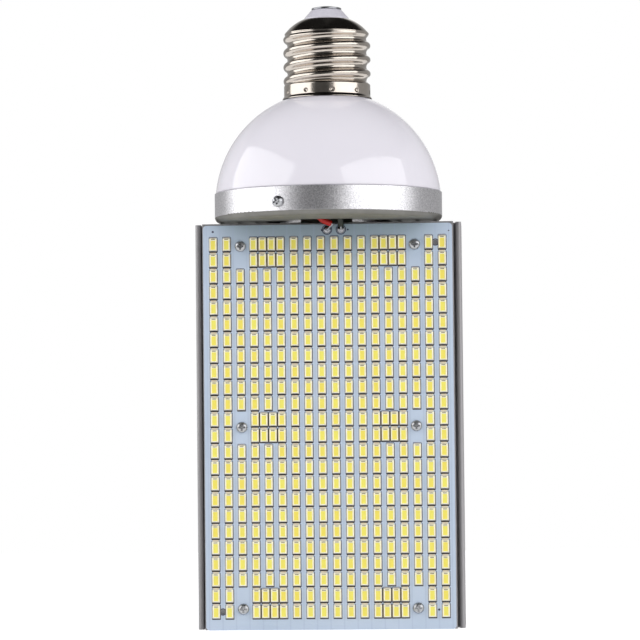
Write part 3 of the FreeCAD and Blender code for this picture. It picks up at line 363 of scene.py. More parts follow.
radius = np.repeat(profile_radius[:, None], around.size, axis=1)
threaded = slice(SKIN_ROWS, SKIN_ROWS + THREAD_ROWS)
radius[threaded] = base[:, None] + wave * fade[:, None] * (THREAD_CREST - THREAD_ROOT) / 2
# Over the last 1.2 mm the thread draws in to the shoulder's foot.
end_blend = smooth_step((along - THREAD_HEIGHT + 1.2) / 1.2)[:, None]
radius[threaded] += (SHOULDER_FOOT - radius[threaded]) * end_blend
painted_recess_shade = np.zeros_like(radius)
painted_recess_shade[threaded] = ROOT_SHADE * np.clip(-wave, 0, 1) * fade[:, None]
# Each mark is a dent whose depth falls off as 1 less the square of the distance from its
# middle, in mark radii. Its ring of painted shade is a band from 0.5 to 1.3 mark radii, fullest at
# 0.9.
stake_angle = np.radians(STAKE_TURN - 90 + np.arange(STAKE_COUNT) * 360 / STAKE_COUNT)
turn_off = (around[None, :] - stake_angle[:, None] + math.pi) % (2 * math.pi) - math.pi
from_mark = np.hypot(np.abs(turn_off).min(0)[None, :] * SKIRT_RADIUS,
                     profile_height[:, None] - CAP_FOOT - STAKE_UP) / MARK_RADIUS
on_skin = (np.arange(profile_height.size) < SKIN_ROWS)[:, None]
radius -= STAKE_DEPTH * on_skin * np.clip(1 - from_mark ** 2, 0, 1)
mark_shade_ring = MARK_SHADE_RING * on_skin * np.clip(1 - np.abs(from_mark - 0.9) / 0.4, 0, 1)
painted_recess_shade = np.maximum(painted_recess_shade, mark_shade_ring)
grid = np.stack([radius * np.cos(around), radius * np.sin(around),
                 np.repeat(profile_height[:, None], around.size, axis=1)], axis=-1)
points, quads = woven_grid(grid)

# Bright nickel over brass: slightly warm, mirror-like, with fine rings from rolling, and
# darkened by the painted shade above, which also makes it a little rougher there.
nickel, tree, shader, where = new_finish("nickel_plate_rolled")
film = add(tree, "ShaderNodeTexNoise", {}, {"Vector": where, "Scale": 160.0, "Detail": 4.0})
rings = add(tree, "ShaderNodeMapping", {}, {"Vector": where, "Scale": (60.0, 60.0, 5000.0)})
rings = add(tree, "ShaderNodeTexNoise", {}, {
    "Vector": rings.outputs[0], "Scale": 1.0, "Detail": 2.0})
# Painted shade: the thread's roots and the rings round the marks are darkened towards #6A645D.
root = add(tree, "ShaderNodeAttribute", {"attribute_name": "painted_recess_shade"}, {})
painted_shade = add(tree, "ShaderNodeMath", {"operation": "MULTIPLY"}, {0: root.outputs["Fac"], 1: 0.5})
clean = two_tone(tree, film.outputs["Fac"], "#AEA69E", "#C8C0B7")
colour = two_tone(tree, painted_shade.outputs[0], clean, "#6A645D")
dull = add(tree, "ShaderNodeMapRange", {}, {
    "Value": film.outputs["Fac"], "From Min": 0.3, "From Max": 0.7, "To Min": 0.09, "To Max": 0.20})
dull = add(tree, "ShaderNodeMath", {"operation": "MULTIPLY_ADD"}, {
    0: painted_shade.outputs[0], 1: 0.22, 2: dull.outputs[0]})
ridge = bumps(tree, rings.outputs["Fac"], 0.35, 0.00002)
sway = add(tree, "ShaderNodeBump", {}, {
    "Strength": 0.10, "Distance": 0.0004, "Height": film.outputs["Fac"], "Normal": ridge})
dress(tree, shader, colour, dull.outputs[0], sway.outputs[0])
shader.inputs["Metallic"].default_value = 1.0

cap = lay_mesh("rolled_cap", points, quads, "nickel_plate", [nickel])
mark = cap.data.attributes.new("painted_recess_shade", "FLOAT", "POINT")
mark.data.foreach_set("value", painted_recess_shade.ravel().astype(np.float32))
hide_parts("screw_shell")


# Insulator and centre contact: a glazed ceramic cone set in the cap's mouth, and a pressed
# nickel-plated disc on it, with a low crown that meets the holder's spring.
INSULATOR_FOOT = 10.3
INSULATOR_HEAD = 6.9
INSULATOR_HEIGHT = 4.6
CONTACT_RADIUS = 6.7
CONTACT_RIM = 0.9
CONTACT_CROWN = 0.7
CONTACT_FOOT = MOUTH + INSULATOR_HEIGHT
PLUG_RADIUS = 9.35
PLUG_HEIGHT = 5.0
TURNED_STEPS = 96


def turned_piece(name, profile, steps, slot, finishes):
    """Surface of revolution: each point's radius goes round the lamp axis at its height."""
    profile = np.asarray(profile, float)
    angle = np.linspace(0, 2 * math.pi, steps + 1)[:-1]
    spin = np.stack([np.cos(angle), np.sin(angle), np.zeros(steps)], axis=-1)
    lift = np.array([0.0, 0.0, 1.0])
    rings = profile[:, 0, None, None] * spin[None] + profile[:, 1, None, None] * lift
    points, quads = woven_grid(rings)
    piece = lay_mesh(name, points, quads, slot, finishes)
    close_seams(piece)
    return piece


def spread(tree, value, low, high):
    """A value between 0 and 1, spread from low to high."""
    return add(tree, "ShaderNodeMapRange", {}, {
        "Value": value, "To Min": low, "To Max": high}).outputs[0]


def rounded(corners, cuts):
    """A profile's corners, each cut back by its own length and bridged by a smooth curve: the
    point at share t is (1-t) squared of the start, 2t(1-t) of the corner and t squared of the
    end."""
    corners = np.asarray(corners, float)
    share = np.linspace(0, 1, 7)[:, None]
    out = [corners[:1]]
    for number in range(1, len(corners) - 1):
        before, corner, after = corners[number - 1:number + 2]
        start = corner + (before - corner) * cuts[number] / np.linalg.norm(before - corner)
        end = corner + (after - corner) * cuts[number] / np.linalg.norm(after - corner)
        if cuts[number] == 0:
            out.append(corner[None])
            continue
        out.append((1 - share) ** 2 * start + 2 * share * (1 - share) * corner + share ** 2 * end)
    out.append(corners[-1:])
    return np.concatenate(out)


# Glazed ceramic: pale lilac-white, glossy, with faint speckle under the glaze.
glaze, tree, shader, where = new_finish("glazed_ceramic")
fleck = add(tree, "ShaderNodeTexNoise", {}, {"Vector": where, "Scale": 900.0, "Detail": 3.0})
cloud = add(tree, "ShaderNodeTexNoise", {}, {"Vector": where, "Scale": 120.0})
body = two_tone(tree, fleck.outputs["Fac"], "#C0BDC9", "#D8D6DF")
sheen = spread(tree, cloud.outputs["Fac"], 0.10, 0.24)
wavy = bumps(tree, cloud.outputs["Fac"], 0.2, 0.0002)
dress(tree, shader, body, sheen, wavy)
shader.inputs["IOR"].default_value = 1.52

insulator = turned_piece("glazed_insulator", rounded(
    [(0, MOUTH - PLUG_HEIGHT), (PLUG_RADIUS, MOUTH - PLUG_HEIGHT), (PLUG_RADIUS, MOUTH),
     (INSULATOR_FOOT, MOUTH), (INSULATOR_FOOT - 0.2, MOUTH + 0.9),
     (INSULATOR_HEAD, CONTACT_FOOT), (0, CONTACT_FOOT)],
    [0, 0, 0, 0.2, 0.5, 0.5, 0]), TURNED_STEPS, "cap_ceramic", [glaze])
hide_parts("cap_insulator")

# Dull nickel over steel, smeared by the press and darker than the cap.
dull_nickel, tree, shader, where = new_finish("dull_nickel_contact")
smear = add(tree, "ShaderNodeTexNoise", {}, {"Vector": where, "Scale": 500.0, "Detail": 3.0})
body = two_tone(tree, smear.outputs["Fac"], "#6F7076", "#A3A4A8")
sheen = spread(tree, smear.outputs["Fac"], 0.2, 0.34)
tree.links.new(body, shader.inputs["Base Color"])
tree.links.new(sheen, shader.inputs["Roughness"])
shader.inputs["Metallic"].default_value = 1.0

# The crown climbs from 0.35 mm inside the rim and is flat from 1/1.7 of the way in.
inwards = np.linspace(0, 1, 14)
crown_height = CONTACT_FOOT + CONTACT_RIM + CONTACT_CROWN * smooth_step(inwards * 1.7)
crown = np.stack([(CONTACT_RADIUS - 0.35) * (1 - inwards), crown_height], axis=-1)
contact = turned_piece("centre_contact_disc", np.concatenate([
    rounded([(0, CONTACT_FOOT), (CONTACT_RADIUS, CONTACT_FOOT),
             (CONTACT_RADIUS, CONTACT_FOOT + CONTACT_RIM), tuple(crown[0])], [0, 0.25, 0.3, 0]),
    crown[1:]]), TURNED_STEPS, "nickel_plate", [dull_nickel])
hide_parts("centre_contact")


# Dome housing: white polycarbonate, injection-moulded and glossy. Its neck is in the cap, and
# its skirt drops inside the collar, where two screws hold it.
COLLAR_TOP = 194.6
DOME_RADIUS = 50.8
DOME_BORDER = 50.6
DOME_CENTRE = COLLAR_TOP - math.sqrt(DOME_RADIUS ** 2 - DOME_BORDER ** 2)
DOME_INSIDE = 48.6
DOME_DROP = 9.2
SKIRT_OUTSIDE = 48.85
SKIRT_INSIDE = 46.55
NECK_RADIUS = 18.65
NECK_BORE = 16.85
NECK_HEIGHT = 5.0
DOME_STEPS = 192

# Glossy white polycarbonate: a cool white with a faint moulded ripple that bends reflections.
dome_white, tree, shader, where = new_finish("glossy_white_polycarbonate")
flow = add(tree, "ShaderNodeTexNoise", {}, {"Vector": where, "Scale": 22.0, "Detail": 2.0})
peel = add(tree, "ShaderNodeTexNoise", {}, {"Vector": where, "Scale": 700.0, "Detail": 2.0})
body = two_tone(tree, flow.outputs["Fac"], "#E2DFE8", "#E8E5ED")
sheen = spread(tree, flow.outputs["Fac"], 0.06, 0.11)
wavy = bumps(tree, peel.outputs["Fac"], 0.06, 0.0001)
dress(tree, shader, body, sheen, wavy)
shader.inputs["IOR"].default_value = 1.58
shader.inputs["Subsurface Weight"].default_value = 0.12
shader.inputs["Subsurface Radius"].default_value = (1.0, 0.9, 0.9)
shader.inputs["Subsurface Scale"].default_value = 0.0015

# Section from the skirt up over the sphere, round the neck and down the inside. A small
# round edge, 0.75 mm up, meets the collar.
low = math.asin((COLLAR_TOP + 0.75 - DOME_CENTRE) / DOME_RADIUS)
high = math.acos(SKIRT_RADIUS / DOME_RADIUS)
climb = np.linspace(low, high, 64)
sphere = np.stack([DOME_RADIUS * np.cos(climb), DOME_CENTRE + DOME_RADIUS * np.sin(climb)], axis=-1)
skirt_end = (47.0, COLLAR_TOP - DOME_DROP)
edge = [skirt_end, (SKIRT_OUTSIDE, COLLAR_TOP - DOME_DROP), (SKIRT_OUTSIDE, COLLAR_TOP + 0.05),
        (50.0, COLLAR_TOP + 0.05), (50.2, COLLAR_TOP + 0.15), (50.5, COLLAR_TOP + 0.5)]
neck = [(SKIRT_RADIUS, CAP_FOOT - 0.02), (NECK_RADIUS, CAP_FOOT - 0.02),
        (NECK_RADIUS, CAP_FOOT + NECK_HEIGHT), (NECK_BORE, CAP_FOOT + NECK_HEIGHT),
        (NECK_BORE, CAP_FOOT - 2.4)]
fall = np.linspace(high - 0.05, low, 24)
inside = np.stack([DOME_INSIDE * np.cos(fall), DOME_CENTRE + DOME_INSIDE * np.sin(fall)], axis=-1)
inside = inside[inside[:, 0] < SKIRT_INSIDE + 0.05]
skirt = [(SKIRT_INSIDE, COLLAR_TOP), (SKIRT_INSIDE, COLLAR_TOP - DOME_DROP), skirt_end]
dome = turned_piece("moulded_dome", np.concatenate([edge, sphere, neck, inside, skirt]),
                    DOME_STEPS, "white_housing", [dome_white])
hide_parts("dome_housing")


# Collar: turned aluminium cup, bead-blasted, with a rounded bottom edge, a boss that seats on
# the heat sink and a slot for the two leads. Two screws hold the dome in it.
SHARP_EDGE = math.radians(30)
# The slot's cut faces: half its width, and its front and back ends, each with 0.1 mm to spare.
SLOT_HALF = 11.6
SLOT_FRONT = -22.7
SLOT_BACK = -4.9


def joined_copy(node, name, finishes, edge, segments):
    """A copy of a CAD node with its triangles joined to whole faces. Its edges above 30 degrees
    are kept sharp, and are rounded by the given millimetres."""
    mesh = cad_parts[node].data.copy()
    mesh.materials.clear()
    for finish in finishes:
        mesh.materials.append(finish)
    shape = bmesh.new()
    shape.from_mesh(mesh)
    bmesh.ops.remove_doubles(shape, verts=shape.verts, dist=1e-6)
    bmesh.ops.dissolve_limit(shape, angle_limit=math.radians(0.5), verts=shape.verts,
                             edges=shape.edges)
    for face in shape.faces:
        face.smooth = True
        face.material_index = 0
    for line in shape.edges:
        line.smooth = len(line.link_faces) == 2 and line.calc_face_angle(0) < SHARP_EDGE
    shape.to_mesh(mesh)
    shape.free()
    piece = bpy.data.objects.new(name, mesh)
    scene.collection.objects.link(piece)
    if edge:
        bevel = piece.modifiers.new("rounded_edges", "BEVEL")
        bevel.width = edge / 1000
        bevel.segments = segments
        bevel.limit_method = "ANGLE"
        bevel.angle_limit = SHARP_EDGE
        bevel.use_clamp_overlap = True
    even = piece.modifiers.new("even_shading", "WEIGHTED_NORMAL")
    even.keep_sharp = not edge
    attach(piece, "root")
    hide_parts(node)
    return piece


def face_rows(piece, what):
    """One row for each face of a piece: its normal, or its middle (center) in metres."""
    numbers = np.zeros(len(piece.data.polygons) * 3)
    piece.data.polygons.foreach_get(what, numbers)
    return numbers.reshape(-1, 3)


# Bead-blasted aluminium: a matt silver whose grit marks sparkle. They are drawn about 0.6 mm
# wide, coarser than the real 0.1 mm, which would be lost between pixels.
blasted, tree, shader, where = new_finish("bead_blasted_aluminium")
grit = add(tree, "ShaderNodeTexNoise", {}, {
    "Vector": where, "Scale": 1700.0, "Detail": 4.0, "Roughness": 0.75})
patch = add(tree, "ShaderNodeTexNoise", {}, {"Vector": where, "Scale": 90.0, "Detail": 3.0})
spark = add(tree, "ShaderNodeMapRange", {}, {
    "Value": grit.outputs["Fac"], "From Min": 0.31, "From Max": 0.69})
body = two_tone(tree, spark.outputs[0], "#ABAAAF", "#FBFAFD")
sheen = spread(tree, patch.outputs["Fac"], 0.27, 0.35)
pits = bumps(tree, grit.outputs["Fac"], 0.55, 0.0001)
dress(tree, shader, body, sheen, pits)
shader.inputs["Metallic"].default_value = 1.0

# Turned underside and slot of the collar: rougher and left with the lathe's fine rings, and painted
# a darker grey than the blasted wall as shade on the faces that look down and on the slot's walls.
lathe_faced_and_shaded, tree, shader, where = new_finish("lathe_faced_aluminium_painted_shade")
rings = add(tree, "ShaderNodeTexWave", {"wave_type": "RINGS", "rings_direction": "Z"}, {
    "Vector": where, "Scale": 1100.0, "Distortion": 0.6, "Detail": 1.0})
patch = add(tree, "ShaderNodeTexNoise", {}, {"Vector": where, "Scale": 150.0, "Detail": 3.0})
body = two_tone(tree, patch.outputs["Fac"], "#6F6E6B", "#93928E")
sheen = spread(tree, patch.outputs["Fac"], 0.55, 0.7)
cuts = bumps(tree, rings.outputs["Fac"], 0.4, 0.00003)
dress(tree, shader, body, sheen, cuts)
shader.inputs["Metallic"].default_value = 0.85

collar = joined_copy("collar", "blasted_collar", [blasted, lathe_faced_and_shaded], 0.0, 1)
facing = face_rows(collar, "normal")
middle = face_rows(collar, "center") * 1000
in_slot = ((np.abs(middle[:, 0]) < SLOT_HALF) & (middle[:, 1] > SLOT_FRONT)
           & (middle[:, 1] < SLOT_BACK) & (np.abs(facing[:, 2]) < 0.5))
# Faces that look down, and the slot's walls, take the darker finish as painted shade.
gets_painted_shade = (facing[:, 2] < -0.12) | in_slot
collar.data.polygons.foreach_set("material_index", gets_painted_shade.astype(np.int32))


# Screws: pan heads with a cross recess, steel with bright zinc, driven into the heat sink and
# through the collar's wall into the dome's skirt. Those inside the housing come with the driver.
zinc, tree, shader, where = new_finish("bright_zinc_screw")
swirl = add(tree, "ShaderNodeTexNoise", {}, {
    "Vector": where, "Scale": 900.0, "Detail": 4.0, "Distortion": 1.5})
body = two_tone(tree, swirl.outputs["Fac"], "#7C7E82", "#CDCED1")
sheen = spread(tree, swirl.outputs["Fac"], 0.18, 0.42)
marks = bumps(tree, swirl.outputs["Fac"], 0.5, 0.0001)
dress(tree, shader, body, sheen, marks)
shader.inputs["Metallic"].default_value = 1.0

joined_copy("board_screws", "board_pan_screws", [zinc], 0.0, 1)
joined_copy("collar_screws", "collar_pan_screws", [zinc], 0.0, 1)


# Heat sink: one aluminium extrusion in mill finish, sawn at both ends. The die leaves fine
# lines along it, and its edges are slightly round.
mill, tree, shader, where = new_finish("mill_finish_extrusion")
drawn = add(tree, "ShaderNodeMapping", {}, {"Vector": where, "Scale": (2200.0, 2200.0, 6.0)})
lines = add(tree, "ShaderNodeTexNoise", {}, {
    "Vector": drawn.outputs[0], "Scale": 1.0, "Detail": 3.0})
bands = add(tree, "ShaderNodeMapping", {}, {"Vector": where, "Scale": (500.0, 500.0, 3.0)})
bands = add(tree, "ShaderNodeTexNoise", {}, {
    "Vector": bands.outputs[0], "Scale": 1.0, "Detail": 2.0})
stain = add(tree, "ShaderNodeTexNoise", {}, {"Vector": where, "Scale": 60.0, "Detail": 4.0})
body = two_tone(tree, bands.outputs["Fac"], "#8B8A8C", "#B5B3B5")
stained = add(tree, "ShaderNodeMix", {"data_type": "RGBA", "blend_type": "MULTIPLY"}, {
    0: 0.15, 6: body, 7: stain.outputs["Fac"]})
sheen = spread(tree, stain.outputs["Fac"], 0.46, 0.60)
scores = bumps(tree, lines.outputs["Fac"], 0.35, 0.00004)
dress(tree, shader, stained.outputs[2], sheen, scores)
shader.inputs["Metallic"].default_value = 0.7

joined_copy("heat_sink", "extruded_heat_sink", [mill], 0.3, 2)


# LED board: aluminium-cored board under pale blue-grey solder mask, screwed to the heat sink.
# The gaps between the copper columns show faintly through the mask, and the routed rim is
# bare aluminium.
BOARD_FRONT = -14.0
LED_COLUMN_PITCH = 6.0
LED_ROW_PITCH = 7.1
LED_LOW = 8.2
LED_CLOSE_PITCH = 4.0
LED_WIDTH = 3.0
LED_HEIGHT = 5.7
LED_THICKNESS = 0.9

# Solder mask: pale blue, satin, a little cloudy, with a darker line at every gap in the copper.
mask, tree, shader, where = new_finish("pale_blue_solder_mask")
split = add(tree, "ShaderNodeSeparateXYZ", {}, {0: where})
column = add(tree, "ShaderNodeMath", {"operation": "PINGPONG"}, {0: split.outputs[0], 1: 0.003})
gap_line = add(tree, "ShaderNodeMapRange", {"interpolation_type": "SMOOTHSTEP"}, {
    "Value": column.outputs[0], "From Min": 0.0, "From Max": 0.0005, "To Min": 0.3, "To Max": 0.0})
cloud = add(tree, "ShaderNodeTexNoise", {}, {"Vector": where, "Scale": 45.0, "Detail": 4.0})
speck = add(tree, "ShaderNodeTexNoise", {}, {"Vector": where, "Scale": 1500.0, "Detail": 2.0})
tint = two_tone(tree, cloud.outputs["Fac"], "#B5C6DB", "#C8D4E6")
# Towards the middle of its top edge the board is painted darker: a painted shadow of the collar
# that overhangs it. The border of that stretch curves up at the sides, by 130 times the cube of x
# in metres.
aside = add(tree, "ShaderNodeMath", {"operation": "ABSOLUTE"}, {0: split.outputs[0]})
aside = add(tree, "ShaderNodeMath", {"operation": "POWER"}, {0: aside.outputs[0], 1: 3.0})
high = add(tree, "ShaderNodeMath", {"operation": "MULTIPLY_ADD"}, {
    0: aside.outputs[0], 1: -130.0, 2: split.outputs[2]})
painted_collar_shadow = add(tree, "ShaderNodeMapRange", {"interpolation_type": "SMOOTHSTEP"}, {
    "Value": high.outputs[0], "From Min": 0.152, "From Max": 0.180})
tint = two_tone(tree, painted_collar_shadow.outputs[0], tint, "#97A9B4")
tint = two_tone(tree, gap_line.outputs[0], tint, "#A3B0CB")
sheen = spread(tree, speck.outputs["Fac"], 0.30, 0.48)
skin = bumps(tree, speck.outputs["Fac"], 0.15, 0.00005)
dress(tree, shader, tint, sheen, skin)
shader.inputs["IOR"].default_value = 1.5

# Routed rim: bright aluminium, milled across, with a matt cut.
rim, tree, shader, where = new_finish("routed_board_rim")
cuts = add(tree, "ShaderNodeTexNoise", {}, {"Vector": where, "Scale": 900.0, "Detail": 2.0})
body = two_tone(tree, cuts.outputs["Fac"], "#D5D8DE", "#F2F3F6")
tree.links.new(body, shader.inputs["Base Color"])
shader.inputs["Roughness"].default_value = 0.55
shader.inputs["Metallic"].default_value = 0.5

board = joined_copy("led_board", "masked_led_board", [mask, rim], 0.12, 2)
at_rim = np.abs(face_rows(board, "normal")[:, 1]) < 0.7
board.data.polygons.foreach_set("material_index", at_rim.astype(np.int32))


# Print on the board: a dark outline round each LED's pads and small marks by the leads, as the
# board's maker prints them, 0.02 mm thick, with a painted shadow widening each outline's right
# side. Dark rings round the two tooling holes are drawn with it. It carries no words.
OUTLINE_HALF = LED_WIDTH / 2 + 0.25
OUTLINE_FOOT = LED_HEIGHT / 2 + 0.55
OUTLINE_TOP = LED_HEIGHT / 2 + 0.62
OUTLINE_LINE = 0.26
# Edges of the side lines, out from OUTLINE_HALF: the right one is wider, and its extra width is a
# painted shadow beside each LED.
LEFT_LINE = (-0.12, 0.12)
RIGHT_LINE_AND_SHADOW = (-0.02, 0.28)
INK_PROUD = 0.02
# Dots: across, up and radius. Rings: across, up, outer and inner radius.
PRINT_DOTS = [(-51.1, 177.2, 0.5), (54.0, 176.5, 0.3), (-2.3, 177.4, 0.5), (9.2, 177.5, 0.4),
              (47.9, 8.6, 0.5)]
# The last two rings are dark rings drawn round the two tooling holes.
PRINT_RINGS = [(-0.1, 177.6, 2.3, 1.95), (6.1, 177.6, 2.3, 1.95), (48.0, 171.4, 1.6, 1.25),
               (-48.0, 8.2, 1.6, 1.25)]


def led_places():
    """Middles of the LEDs: 18 columns and 24 rows. In the two rows beside each screw, the
    column at the screw is left out and the next three columns hold four closer LEDs."""
    plain = (np.arange(18) - 8.5) * LED_COLUMN_PITCH
    close = (np.arange(4) - 1.5) * LED_CLOSE_PITCH
    crowded = np.concatenate([plain[:2], plain[4] + close, plain[6:12], plain[13] + close,
                              plain[16:]])
    rows = LED_LOW + np.arange(24) * LED_ROW_PITCH
    beside = np.isin(np.arange(24), (0, 1, 11, 12, 22, 23))
    return np.array([(x, z) for z, near in zip(rows, beside) for x in (crowded if near else plain)])


def has_led(x, z):
    """Whether an LED's middle is at a place, to a hundredth of a millimetre."""
    return (round(x, 2), round(z, 2)) in taken


def flat_boxes(rectangles, proud):
    """Thin bars: each rectangle (left, low, right, high) lies proud of the board's face."""
    left, low, right, high = np.asarray(rectangles, float).T
    face = np.full(left.size, BOARD_FRONT - proud)
    corners = [(left, face, low), (right, face, low), (right, face, high), (left, face, high)]
    points = np.stack([np.stack(corner, axis=-1) for corner in corners], axis=1)
    return points.reshape(-1, 3), np.arange(left.size * 4).reshape(-1, 4)


def discs(spots, steps, proud):
    """Round printed dots (across, up, radius): a ring of corners about each middle."""
    spots = np.asarray(spots, float)
    angle = np.linspace(0, 2 * math.pi, steps + 1)[:-1]
    across = spots[:, 0, None] + spots[:, 2, None] * np.cos(angle)
    up = spots[:, 1, None] + spots[:, 2, None] * np.sin(angle)
    points = np.stack([across, np.full_like(across, BOARD_FRONT - proud), up], axis=-1)
    return points.reshape(-1, 3), np.arange(points.shape[0] * steps).reshape(-1, steps)


def hoops(spots, steps, proud):
    """Round printed lines (across, up, outer radius, inner radius), four corners a step."""
    spots = np.asarray(spots, float)
    angle = np.linspace(0, 2 * math.pi, steps + 1)[:-1]
    angles = np.stack([angle, np.roll(angle, -1), np.roll(angle, -1), angle], axis=-1)
    radii = spots[:, [2, 2, 3, 3]][:, None, :]
    points = np.stack([spots[:, 0, None, None] + radii * np.cos(angles),
                       np.full((len(spots), steps, 4), BOARD_FRONT - proud),
                       spots[:, 1, None, None] + radii * np.sin(angles)], axis=-1)
    return points.reshape(-1, 3), np.arange(points.size // 3).reshape(-1, 4)[:, ::-1]


# Screen-printed ink: dark blue-grey, matt, a little ragged.
ink, tree, shader, where = new_finish("dark_board_print")
ragged = add(tree, "ShaderNodeTexNoise", {}, {"Vector": where, "Scale": 1200.0, "Detail": 3.0})
body = two_tone(tree, ragged.outputs["Fac"], "#25233A", "#4B4A66")
tree.links.new(body, shader.inputs["Base Color"])
shader.inputs["Roughness"].default_value = 0.5

places = led_places()
taken = {(round(x, 2), round(z, 2)) for x, z in places}
# An LED with another above it has no top line of its own: the gap's bar takes its place.
lines = []
for x, z in places:
    foot, top = z - OUTLINE_FOOT, z + OUTLINE_TOP - OUTLINE_LINE
    if not has_led(x, z + LED_ROW_PITCH):
        lines.append((x - OUTLINE_HALF, top, x + OUTLINE_HALF, z + OUTLINE_TOP))
    lines.append((x - OUTLINE_HALF + LEFT_LINE[0], foot, x - OUTLINE_HALF + LEFT_LINE[1], top))
    lines.append((x + OUTLINE_HALF + RIGHT_LINE_AND_SHADOW[0], foot, x + OUTLINE_HALF + RIGHT_LINE_AND_SHADOW[1], top))
for name, (points, faces) in {"board_outlines": flat_boxes(lines, INK_PROUD),
                              "board_dots": discs(PRINT_DOTS, 16, INK_PROUD),
                              "pad_rings": hoops(PRINT_RINGS, 32, INK_PROUD)}.items():
    lay_mesh(name, points, faces, "board_mask", [ink])


# Gaps between the LEDs of a column and between close LEDs: dark bars on the board. The bar
# below a column's last LED is a painted shadow.
# Heights of a bar between two LEDs and below a column's last, and half the width of one
# between close LEDs.
GAP_HEAD = LED_HEIGHT / 2 + 0.08
GAP_BAR = 0.78
LAST_SHADOW_BAR = 0.50
CLOSE_BAR = 0.34
BAR_PROUD = 0.025

# Dark bars: brown-black, with a dull gloss.
dark_bar_finish, tree, shader, where = new_finish("dark_gap_bar")
bar_grain = add(tree, "ShaderNodeTexNoise", {}, {"Vector": where, "Scale": 1600.0, "Detail": 2.0})
body = two_tone(tree, bar_grain.outputs["Fac"], "#140E10", "#362A28")
tree.links.new(body, shader.inputs["Base Color"])
shader.inputs["Roughness"].default_value = 0.45

bars = []
for x, z in places:
    bar = GAP_BAR if has_led(x, z - LED_ROW_PITCH) else LAST_SHADOW_BAR
    bars.append((x - OUTLINE_HALF, z - GAP_HEAD - bar, x + OUTLINE_HALF, z - GAP_HEAD))
    if has_led(x + LED_CLOSE_PITCH, z):
        middle = x + LED_CLOSE_PITCH / 2
        bars.append((middle - CLOSE_BAR, z - GAP_HEAD, middle + CLOSE_BAR,
                     z + OUTLINE_TOP - OUTLINE_LINE))
lay_mesh("pad_gaps", *flat_boxes(bars, BAR_PROUD), "board_mask", [dark_bar_finish])


# Tinned pads that show past each LED, above its top end and at its sides: solder printed and
# reflowed, warm in tone from the flux on it.
PAD_TOP_HALF = 1.3
PAD_SIDE_HALF = 1.72
PAD_RISE = 0.66
TOP_ROW_RISE = 0.28
PAD_PROUD = 0.03

# Tin under a film of flux: cream to tan, satin.
pad_tin, tree, shader, where = new_finish("fluxed_tinned_pad")
wetting = add(tree, "ShaderNodeTexNoise", {}, {"Vector": where, "Scale": 700.0, "Detail": 2.0})
body = two_tone(tree, wetting.outputs["Fac"], "#D2BFA6", "#FBF3DA")
tree.links.new(body, shader.inputs["Base Color"])
shader.inputs["Roughness"].default_value = 0.4

tops = [(x - PAD_TOP_HALF, z + LED_HEIGHT / 2 - 0.1, x + PAD_TOP_HALF, z + LED_HEIGHT / 2
         + (PAD_RISE if has_led(x, z + LED_ROW_PITCH) else TOP_ROW_RISE)) for x, z in places]
sides = [(x - PAD_SIDE_HALF, z - LED_HEIGHT / 2 + 0.05, x + PAD_SIDE_HALF,
          z + LED_HEIGHT / 2 - 0.2) for x, z in places]
lay_mesh("tinned_pads", *flat_boxes(tops + sides, PAD_PROUD), "board_mask", [pad_tin])


# LEDs: 432 surface-mount packages, 5.7 by 3.0 mm: a white moulded frame, a window of yellow
# phosphor sunk in it, a dark slot at one end and a tinned tab at each end, reflow-soldered.
BODY_END = 0.22
BODY_CHAMFER = 0.1
WINDOW_HALF = 1.12
WINDOW_LOW = -2.36
WINDOW_HIGH = 1.84
WINDOW_DEPTH = 0.16
WINDOW_DRAFT = 0.12
SLOT_MARK = (-0.85, 2.06, 0.85, 2.38)
TAB_HALF = 1.1
TAB_LOW = 0.02
TAB_HIGH = 0.3
FRAME, PHOSPHOR, SLOT, TAB = range(4)


def package():
    """One package about its own middle, y outwards: rings of four corners, from the board up
    the sides, over a chamfer to the window's rim, and down to the phosphor."""
    long_half = LED_HEIGHT / 2 - BODY_END
    wide_half = LED_WIDTH / 2
    points, faces, kinds = [], [], []

    def ring(left, low, right, high, height):
        points.extend([(left, -height, low), (right, -height, low), (right, -height, high),
                       (left, -height, high)])

    def sides(start, kind):
        """Four faces between the ring that starts at a point and the next ring."""
        for corner in range(4):
            following = (corner + 1) % 4
            faces.append((start + corner, start + following, start + 4 + following,
                          start + 4 + corner))
            kinds.append(kind)

    def lid(kind):
        """One face across the last ring."""
        faces.append(tuple(range(len(points) - 4, len(points))))
        kinds.append(kind)

    ring(-wide_half, -long_half, wide_half, long_half, 0.0)
    ring(-wide_half, -long_half, wide_half, long_half, LED_THICKNESS - 0.12)
    ring(-wide_half + BODY_CHAMFER, -long_half + BODY_CHAMFER, wide_half - BODY_CHAMFER,
         long_half - BODY_CHAMFER, LED_THICKNESS)
    ring(-WINDOW_HALF, WINDOW_LOW, WINDOW_HALF, WINDOW_HIGH, LED_THICKNESS)
    ring(-WINDOW_HALF + WINDOW_DRAFT, WINDOW_LOW + WINDOW_DRAFT, WINDOW_HALF - WINDOW_DRAFT,
         WINDOW_HIGH - WINDOW_DRAFT, LED_THICKNESS - WINDOW_DEPTH)
    for number in range(4):
        sides(number * 4, FRAME)
    lid(PHOSPHOR)
    ring(*SLOT_MARK, LED_THICKNESS + 0.004)
    lid(SLOT)
    for low, high in ((-LED_HEIGHT / 2, -long_half), (long_half, LED_HEIGHT / 2)):
        start = len(points)
        ring(-TAB_HALF, low, TAB_HALF, high, TAB_LOW)
        ring(-TAB_HALF, low, TAB_HALF, high, TAB_HIGH)
        sides(start, TAB)
        lid(TAB)
    return np.array(points), np.array(faces), np.array(kinds)


